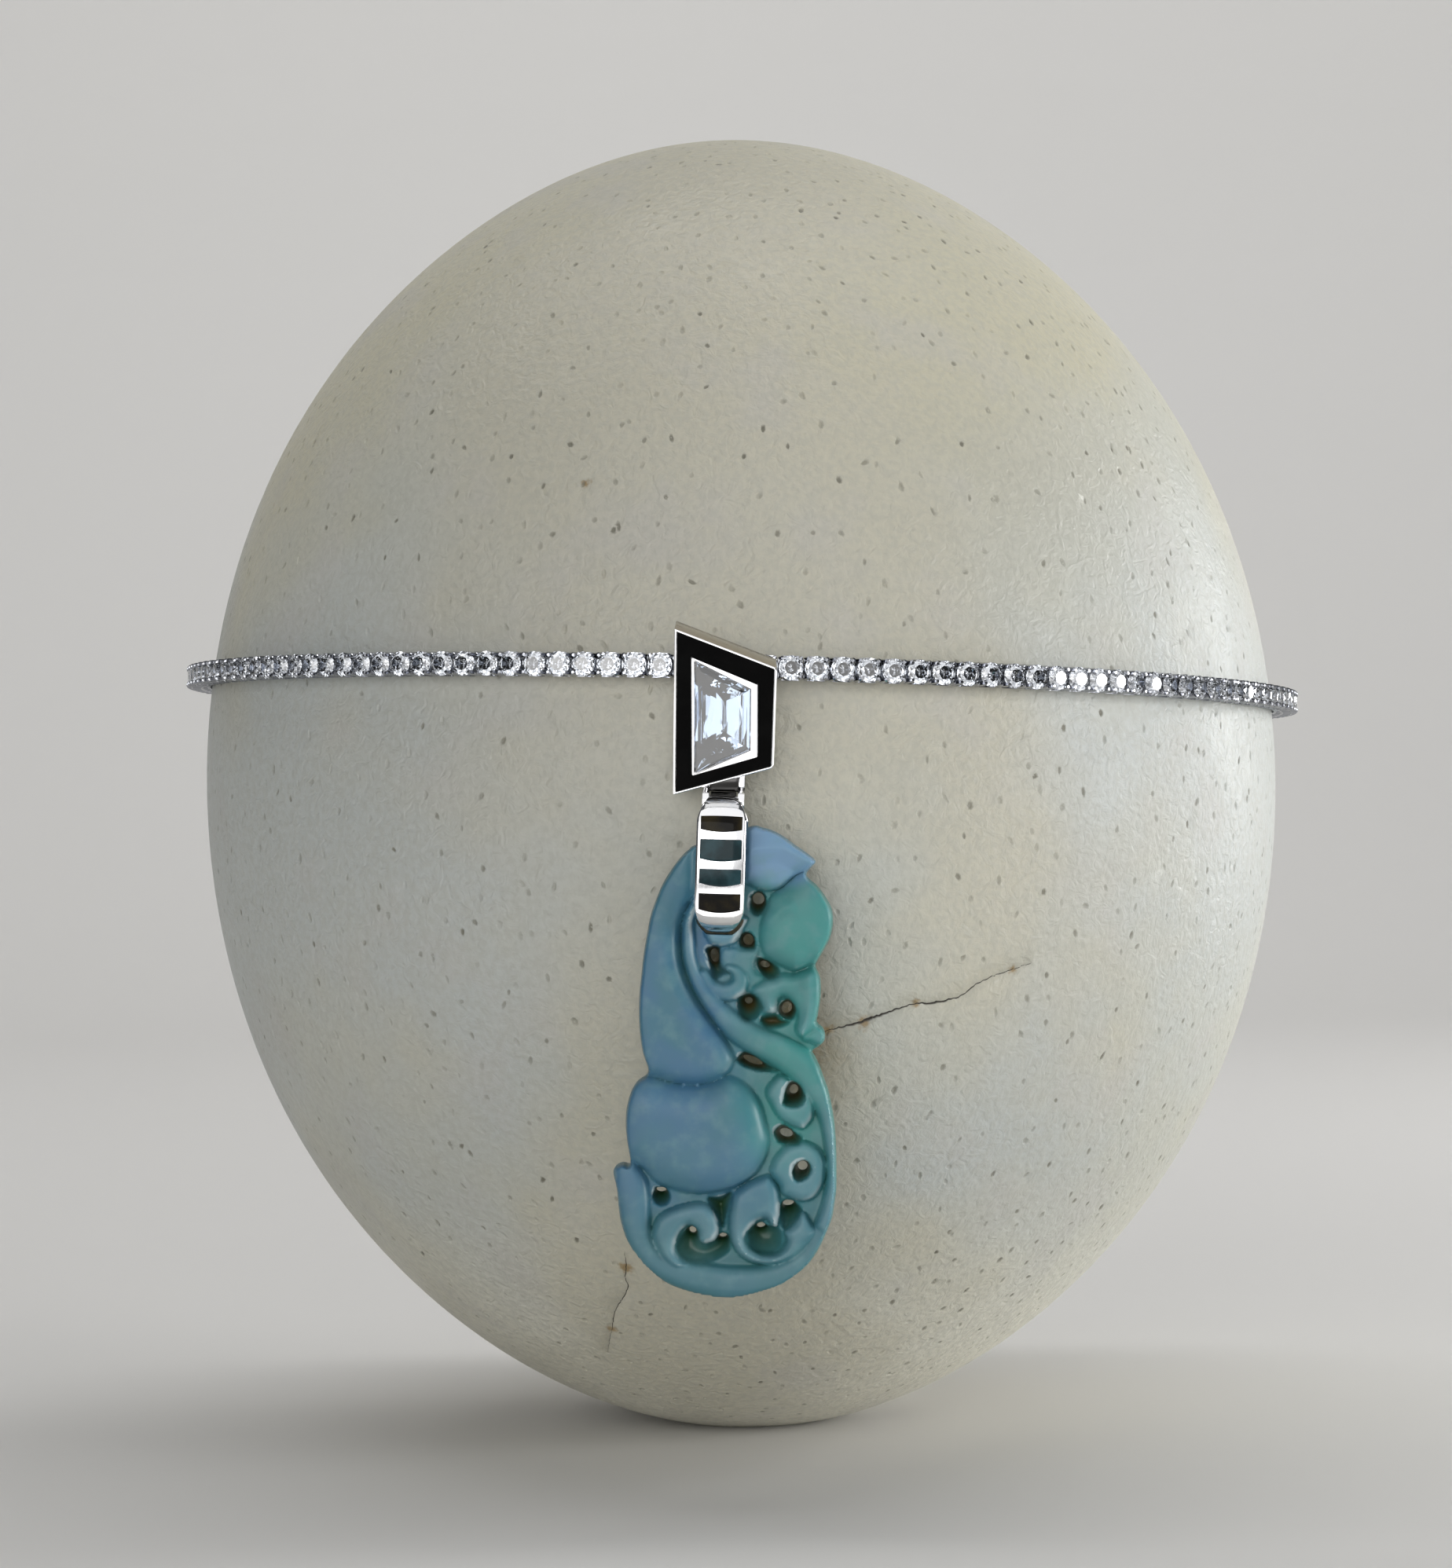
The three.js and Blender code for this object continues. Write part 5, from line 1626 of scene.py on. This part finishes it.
# the stone seen flat: its points, its triangles, its outline and its holes
def jadeMap():
    step = jade["grid"]
    outline = evenRun(smoothRun(jade["outline"], 6, True), step)
    eyeCorners = roundedOutline(jade["eye"], [jade["eyeRound"]] * len(jade["eye"]))
    holes = [evenRun(np.array(eyeCorners), step)]
    for _, _, throughs in jade["hollows"]:
        holes += [evenRun(ellipseRun(*through), jade["holeSpacing"]) for through in throughs]
    low, high = outline.min(0), outline.max(0)
    rows = np.arange(low[1], high[1], step * math.sqrt(3) / 2)
    points = np.array([(x + (row % 2) * step / 2, z) for row, z in enumerate(rows)
                       for x in np.arange(low[0], high[0], step)])
    # points along the carved edges keep those edges crisp
    guides = np.vstack([evenRun(smoothRun(shape[0], 5, True), step)
                        for shape in [*jade["swells"].values(), *jade["hollows"]]])
    cells = np.round(guides / (step * jade["guideApart"])).astype(int)
    _, first = np.unique(cells, axis=0, return_index=True)
    guides = guides[np.sort(first)]
    tree = kdtree.KDTree(len(guides))
    for index, guide in enumerate(guides):
        tree.insert((*guide, 0), index)
    tree.balance()
    points = points[[tree.find((*p, 0))[2] > step * jade["gridFromGuide"] for p in points]]
    points = np.vstack([points, guides])
    edgeClear = step * jade["edgeClear"]
    clear = signedDepth(points, outline) > edgeClear
    for hole in holes:
        clear &= signedDepth(points, hole) < -edgeClear
    flat = np.vstack([outline] + holes + [points[clear]])
    borders = []
    start = 0
    for run in [outline] + holes:
        borders += [(start + k, start + (k + 1) % len(run)) for k in range(len(run))]
        start += len(run)
    found = delaunay_2d_cdt([Vector(p) for p in flat], borders, [], 0, 1e-7)
    flat = np.array([tuple(v) for v in found[0]])
    triangles = np.array(found[2])
    middles = flat[triangles].mean(1)
    keep = insideRun(middles, outline)
    for hole in holes:
        keep &= ~insideRun(middles, hole)
    return flat, triangles[keep], outline, holes


# hollows sink from a soft lip to their floor, or to the edge of their holes
def sinkHollows(flat, height, holeGap):
    sunk = np.zeros(len(flat))
    for shape, floor, throughs in jade["hollows"]:
        depth = signedDepth(flat, smoothRun(shape, 5, True))
        lip = np.clip(1 + depth / jade["lipWidth"], 0, 1) ** 2
        if throughs:
            share = np.clip(depth, 0, None) / (np.clip(depth, 0, None) + holeGap + 1e-6)
        else:
            share = np.clip(depth / max(depth.max(), 0.1), 0, 1)
        share = np.where(depth > 0, share ** jade["wallPower"], 0)
        height = height - jade["lip"] * lip
        height = height + (floor - height) * share
        sunk = np.maximum(sunk, share)
    return height, sunk


# the relief polished, with how sharply it bends and how far it stands out
def polishRelief(flat, triangles, height, outlineDepth):
    ends = np.vstack([triangles[:, (0, 1)], triangles[:, (1, 2)], triangles[:, (2, 0)]])
    ends = np.vstack([ends, ends[:, ::-1]])
    here, there = ends[:, 0], ends[:, 1]
    neighbours = np.maximum(np.bincount(here, minlength=len(flat)), 1)

    def gather(values):
        return np.bincount(here, weights=values, minlength=len(flat))

    share = jade["polishShare"]
    for _ in range(jade["polish"]):
        nearby = gather(height[there]) / neighbours
        height = np.where(outlineDepth > 0.02, (1 - share) * height + share * nearby, height)
    level = height
    for _ in range(jade["bendRounds"]):
        level = gather(level[there]) / neighbours
    broadLevel = level
    for _ in range(jade["standRounds"]):
        broadLevel = gather(broadLevel[there]) / neighbours
    # painted shade darkens creases, and a painted highlight lightens an edge that falls away to the lower
    # right, where the light comes from
    bendShading = np.where(outlineDepth > jade["bendMargin"], height - level, 0)
    apart, rise = flat[there] - flat[here], height[there] - height[here]
    slope = np.stack([gather(rise * apart[:, k]) for k in (0, 1)], 1)
    slope /= np.linalg.norm(slope, axis=1)[:, None] + 1e-6
    bendShading = np.where(bendShading > 0, bendShading * np.clip(slope @ jade["highlightFall"], 0, 1), bendShading)
    return height, bendShading, height - broadLevel


def makeJade():
    flat, triangles, outline, holes = jadeMap()
    outlineDepth = np.maximum(signedDepth(flat, outline), 0)
    holeGap = np.full(len(flat), 1e9)
    for hole in holes:
        gap, _ = distanceToRun(flat, hole, True)
        holeGap = np.minimum(holeGap, gap)
    height, sunk = sinkHollows(flat, carvedHeight(flat, outlineDepth), holeGap)
    height, bendShading, stand = polishRelief(flat, triangles, height, outlineDepth)
    # a narrow tongue passes through the bail's loop
    side = np.clip((jade["tongueHalf"] - np.abs(flat[:, 0])) / jade["tongueSoft"], 0, 1)
    above = np.clip((flat[:, 1] - jade["tongueBottom"]) / jade["tongueSoft"], 0, 1)
    tongue = side * above
    height = height + (np.minimum(height, jade["tongueFront"]) - height) * tongue
    edgeGap = np.minimum(outlineDepth, holeGap)
    back = jade["backRound"] * (1 - arch(edgeGap / jade["backRoundReach"]))
    back = back + (np.maximum(back, jade["tongueBack"]) - back) * tongue
    height = np.maximum(height, back + jade["thinnest"])

    front = np.stack([flat[:, 0], jade["backPlane"] - height, flat[:, 1]], 1)
    rear = np.stack([flat[:, 0], jade["backPlane"] - back, flat[:, 1]], 1)
    count = len(flat)
    faces = [tuple(t) for t in triangles] + [tuple(t + count) for t in triangles[:, ::-1]]
    sides = {}
    for a, b, c in triangles:
        for pair in ((a, b), (b, c), (c, a)):
            sides[pair] = True
    faces += [(b, a, a + count, b + count) for a, b in sides if (b, a) not in sides]
    piece = makePiece("jadeDrop", np.vstack([front, rear]), faces)
    for name, values in (("relief", height), ("sunk", sunk), ("bendShading", bendShading), ("stand", stand)):
        attribute = piece.data.attributes.new(name, "FLOAT", "POINT")
        attribute.data.foreach_set("value", np.concatenate([values, values * 0]))
    faceOutwards(piece)
    placeInJewel(piece)
    keepCreases(piece, 50)
    return piece


jadeTints = {
    "pod": (0.066, 0.187, 0.31, 1),
    "teal": (0.064, 0.315, 0.295, 1),
    "cloud": (0.06, 0.21, 0.225, 1),
    "lowGreen": (0.05, 0.2, 0.18, 1),
    "fruit": (0.11, 0.24, 0.34, 1),
    "leaf": (0.22, 0.38, 0.59, 1),
    "fleck": (0.176, 0.352, 0.378, 1),
    # painted shade where the relief lies low, painted light where it stands out
    "paintedLowShade": (0.03, 0.135, 0.085, 1),
    "standing": (0.2, 0.38, 0.44, 1),
    # painted shade, dark green, in the hollows
    "sunk": (0.022, 0.066, 0.0176, 1),
    # painted brown shade in the upper piercings
    "holeShadeBrown": (0.105, 0.06, 0.014, 1),
    # painted shade in creases, and a painted highlight on edges
    "creaseShade": (0.0176, 0.066, 0.0572, 1),
    "paintedEdgeHighlight": (0.528, 0.634, 0.651, 1),
}


jadeZones = {               # where a tint begins and where it is full, in metres
    "wander": 0.012,
    "tealAcross": (-0.0015, 0.006),
    "tealUp": (0.029, 0.038),
    "lowGreen": (0.036, 0.026),
    "fruitUp": (0.046, 0.034),
    "leafUp": (0.0635, 0.066),
    "leafAcross": (0.0, 0.0025),
    "holeShadeUp": (0.034, 0.041),
}


def makeJadeFinish():
    material, tree, shader = newFinish("greyBlueJade", **{
        "IOR": 1.55, "Specular IOR Level": 0.3,
        "Subsurface Weight": 0.15, "Subsurface Radius": (0.6, 1.0, 0.95), "Subsurface Scale": 0.0007,
    })
    place = ownPlace(tree)
    parts = addNode(tree, "ShaderNodeSeparateXYZ", {0: place})
    broad = noiseAt(tree, place, 75.0, 4.0)
    fine = noiseAt(tree, place, 420.0, 5.0)
    wander = math2(tree, "MULTIPLY", math2(tree, "SUBTRACT", broad, 0.5), jadeZones["wander"])
    acrossX = math2(tree, "ADD", parts.outputs["X"], wander)
    upZ = math2(tree, "ADD", parts.outputs["Z"], wander)
    # blue pod and fruit, teal right side, greener low down, lavender leaf
    teal = spread(tree, acrossX, *jadeZones["tealAcross"])
    teal = math2(tree, "MULTIPLY", teal, spread(tree, upZ, *jadeZones["tealUp"], 0.35, 1.0))
    colour = mixColour(tree, teal, jadeTints["pod"], jadeTints["teal"])
    cloudy = noiseAt(tree, place, 130.0, 3.0)
    colour = mixColour(tree, spread(tree, cloudy, 0.42, 0.62, 0, 0.5), colour, jadeTints["cloud"])
    low = spread(tree, upZ, *jadeZones["lowGreen"], 0, 0.65)
    colour = mixColour(tree, low, colour, jadeTints["lowGreen"])
    relief = ownValue(tree, "relief")
    raised = math2(tree, "MULTIPLY", spread(tree, relief, 3.2, 4.6),
                   spread(tree, upZ, *jadeZones["fruitUp"]))
    colour = mixColour(tree, math2(tree, "MULTIPLY", raised, 0.4), colour, jadeTints["fruit"])
    top = math2(tree, "MULTIPLY", spread(tree, upZ, *jadeZones["leafUp"]),
                spread(tree, acrossX, *jadeZones["leafAcross"]))
    colour = mixColour(tree, math2(tree, "MULTIPLY", top, 0.9), colour, jadeTints["leaf"])
    colour = mixColour(tree, spread(tree, fine, 0.45, 0.72, 0, 0.4), colour, jadeTints["fleck"])
    # painted shade where the relief lies low, and painted light where it stands out
    stand = ownValue(tree, "stand")
    colour = mixColour(tree, spread(tree, stand, -0.2, -1.2, 0, 0.4), colour, jadeTints["paintedLowShade"])
    colour = mixColour(tree, spread(tree, stand, 0.1, 0.8, 0, 0.45), colour, jadeTints["standing"])
    # painted shade, dark green, deep in the hollows
    sunk = ownValue(tree, "sunk")
    colour = mixColour(tree, math2(tree, "MULTIPLY", sunk, 1.1, True), colour, jadeTints["sunk"])
    # painted brown shade deep in the upper piercings, for the shadowed shell seen through them
    holeShadeBrown = math2(tree, "MULTIPLY", spread(tree, sunk, 0.4, 0.95),
                   spread(tree, upZ, *jadeZones["holeShadeUp"], 0, 0.75))
    colour = mixColour(tree, holeShadeBrown, colour, jadeTints["holeShadeBrown"])
    # painted shade in creases and a painted highlight on edges facing the light
    bendShading = ownValue(tree, "bendShading")
    colour = mixColour(tree, spread(tree, bendShading, -0.08, -0.3, 0, 0.15), colour, jadeTints["creaseShade"])
    colour = mixColour(tree, spread(tree, bendShading, 0.04, 0.22, 0, 0.8), colour, jadeTints["paintedEdgeHighlight"])
    tree.links.new(colour, shader.inputs["Base Color"])
    addPolish(tree, shader, scale=260.0, bright=0.3, dull=0.45, bump=0.1)
    return material


finishPiece(makeJade(), makeJadeFinish(), "drop", "jade", "jade_drop")


# pale floor that rises into a backdrop, soft lights and the photograph's camera
stageSet = {                # metres
    "floorHalf": 3.2,
    "floorFront": -2.4,
    "wallStart": 0.75,
    "curve": 0.5,
    "curveSteps": 16,
    "wallHeight": 2.2,
    "colour": (0.72, 0.71, 0.69, 1),
}


def makeStage():
    start, curve, steps = stageSet["wallStart"], stageSet["curve"], stageSet["curveSteps"]
    profile = [(stageSet["floorFront"], 0.0), (start, 0.0)]
    for step in range(1, steps + 1):
        angle = math.pi / 2 * step / steps
        profile.append((start + curve * math.sin(angle), curve * (1 - math.cos(angle))))
    profile.append((start + curve, stageSet["wallHeight"]))
    half = stageSet["floorHalf"]
    vertices = [(x, y, z) for y, z in profile for x in (-half, half)]
    faces = [(2 * k, 2 * k + 1, 2 * k + 3, 2 * k + 2) for k in range(len(profile) - 1)]
    floor = makePiece("floor", vertices, faces)
    material, _, _ = newFinish("palePaper", **{
        "Base Color": stageSet["colour"], "Roughness": 0.75, "Specular IOR Level": 0.2})
    floor.data.materials.append(material)


makeStage()

lights = {
    "world": (0.07, 0.073, 0.078, 1),
    # name, place, aim, size across and up, power, whether it lights dull surfaces
    "panels": [
        ("key", (0.78, -0.2, 0.03), (0.0, 0.0, 0.065), (0.35, 0.6), 6.0, True),
        ("rim", (0.6, 0.35, 0.08), (0.0, 0.0, 0.065), (0.15, 0.5), 2.5, True),
        ("fill", (-0.35, -1.1, 0.25), (0.0, 0.0, 0.06), (1.2, 0.8), 6.1, True),
        ("card", (0.0, -1.3, 0.75), (0.0, 0.0, 0.075), (2.2, 2.4), 16.0, False),
        ("floorCard", (0.0, -0.26, 0.004), (0.0, -0.259, 1.0), (0.5, 0.3), 0.45, False),
        ("top", (0.0, -0.1, 0.9), (0.0, 0.0, 0.08), (0.6, 0.5), 0.7, True),
        ("wall", (0.0, 0.25, 1.3), (0.0, 1.25, 0.35), (1.6, 0.3), 11.0, True),
    ],
}


def makeLights():
    world = bpy.data.worlds.new("studio")
    scene.world = world
    world.use_nodes = True
    ambient = next(n for n in world.node_tree.nodes if n.type == "BACKGROUND")
    ambient.inputs["Color"].default_value = lights["world"]
    for name, place, aim, size, power, lightsDull in lights["panels"]:
        lamp = bpy.data.lights.new(name, "AREA")
        lamp.shape = "RECTANGLE"
        lamp.size, lamp.size_y = size
        lamp.energy = power
        lampObject = bpy.data.objects.new(name, lamp)
        lampObject.visible_diffuse = lightsDull
        lampObject.visible_camera = False
        lampObject.location = place
        lampObject.rotation_euler = (Vector(aim) - Vector(place)).to_track_quat("-Z", "Y").to_euler()
        scene.collection.objects.link(lampObject)


makeLights()

lens = {
    "distance": 0.48,
    "side": 1.5,            # degrees to the right of straight on
    "height": 0.0745,
    "swing": 0.21,          # degrees turned to the left of the egg's middle
    "roll": 1.207,
    "focal": 93.39,         # mm, as is the sensor's width
    "sensor": 36,
}


def makeCamera():
    side = math.radians(lens["side"])
    spot = Vector((lens["distance"] * math.sin(side), -lens["distance"] * math.cos(side), lens["height"]))
    heading = side + math.radians(lens["swing"])
    right = Vector((math.cos(heading), math.sin(heading), 0))
    ahead = Vector((-math.sin(heading), math.cos(heading), 0))
    roll = math.radians(lens["roll"])
    up = Vector((0, 0, 1)) * math.cos(roll) + right * math.sin(roll)
    across = right * math.cos(roll) - Vector((0, 0, 1)) * math.sin(roll)
    data = bpy.data.cameras.new("camera")
    data.lens = lens["focal"]
    data.sensor_width = lens["sensor"]
    camera = bpy.data.objects.new("camera", data)
    camera.matrix_world = Matrix((
        (across.x, up.x, -ahead.x, spot.x),
        (across.y, up.y, -ahead.y, spot.y),
        (across.z, up.z, -ahead.z, spot.z),
        (0, 0, 0, 1),
    ))
    scene.collection.objects.link(camera)
    scene.camera = camera


makeCamera()
scene.view_settings.view_transform = "Standard"
print("stage, lights and camera set")
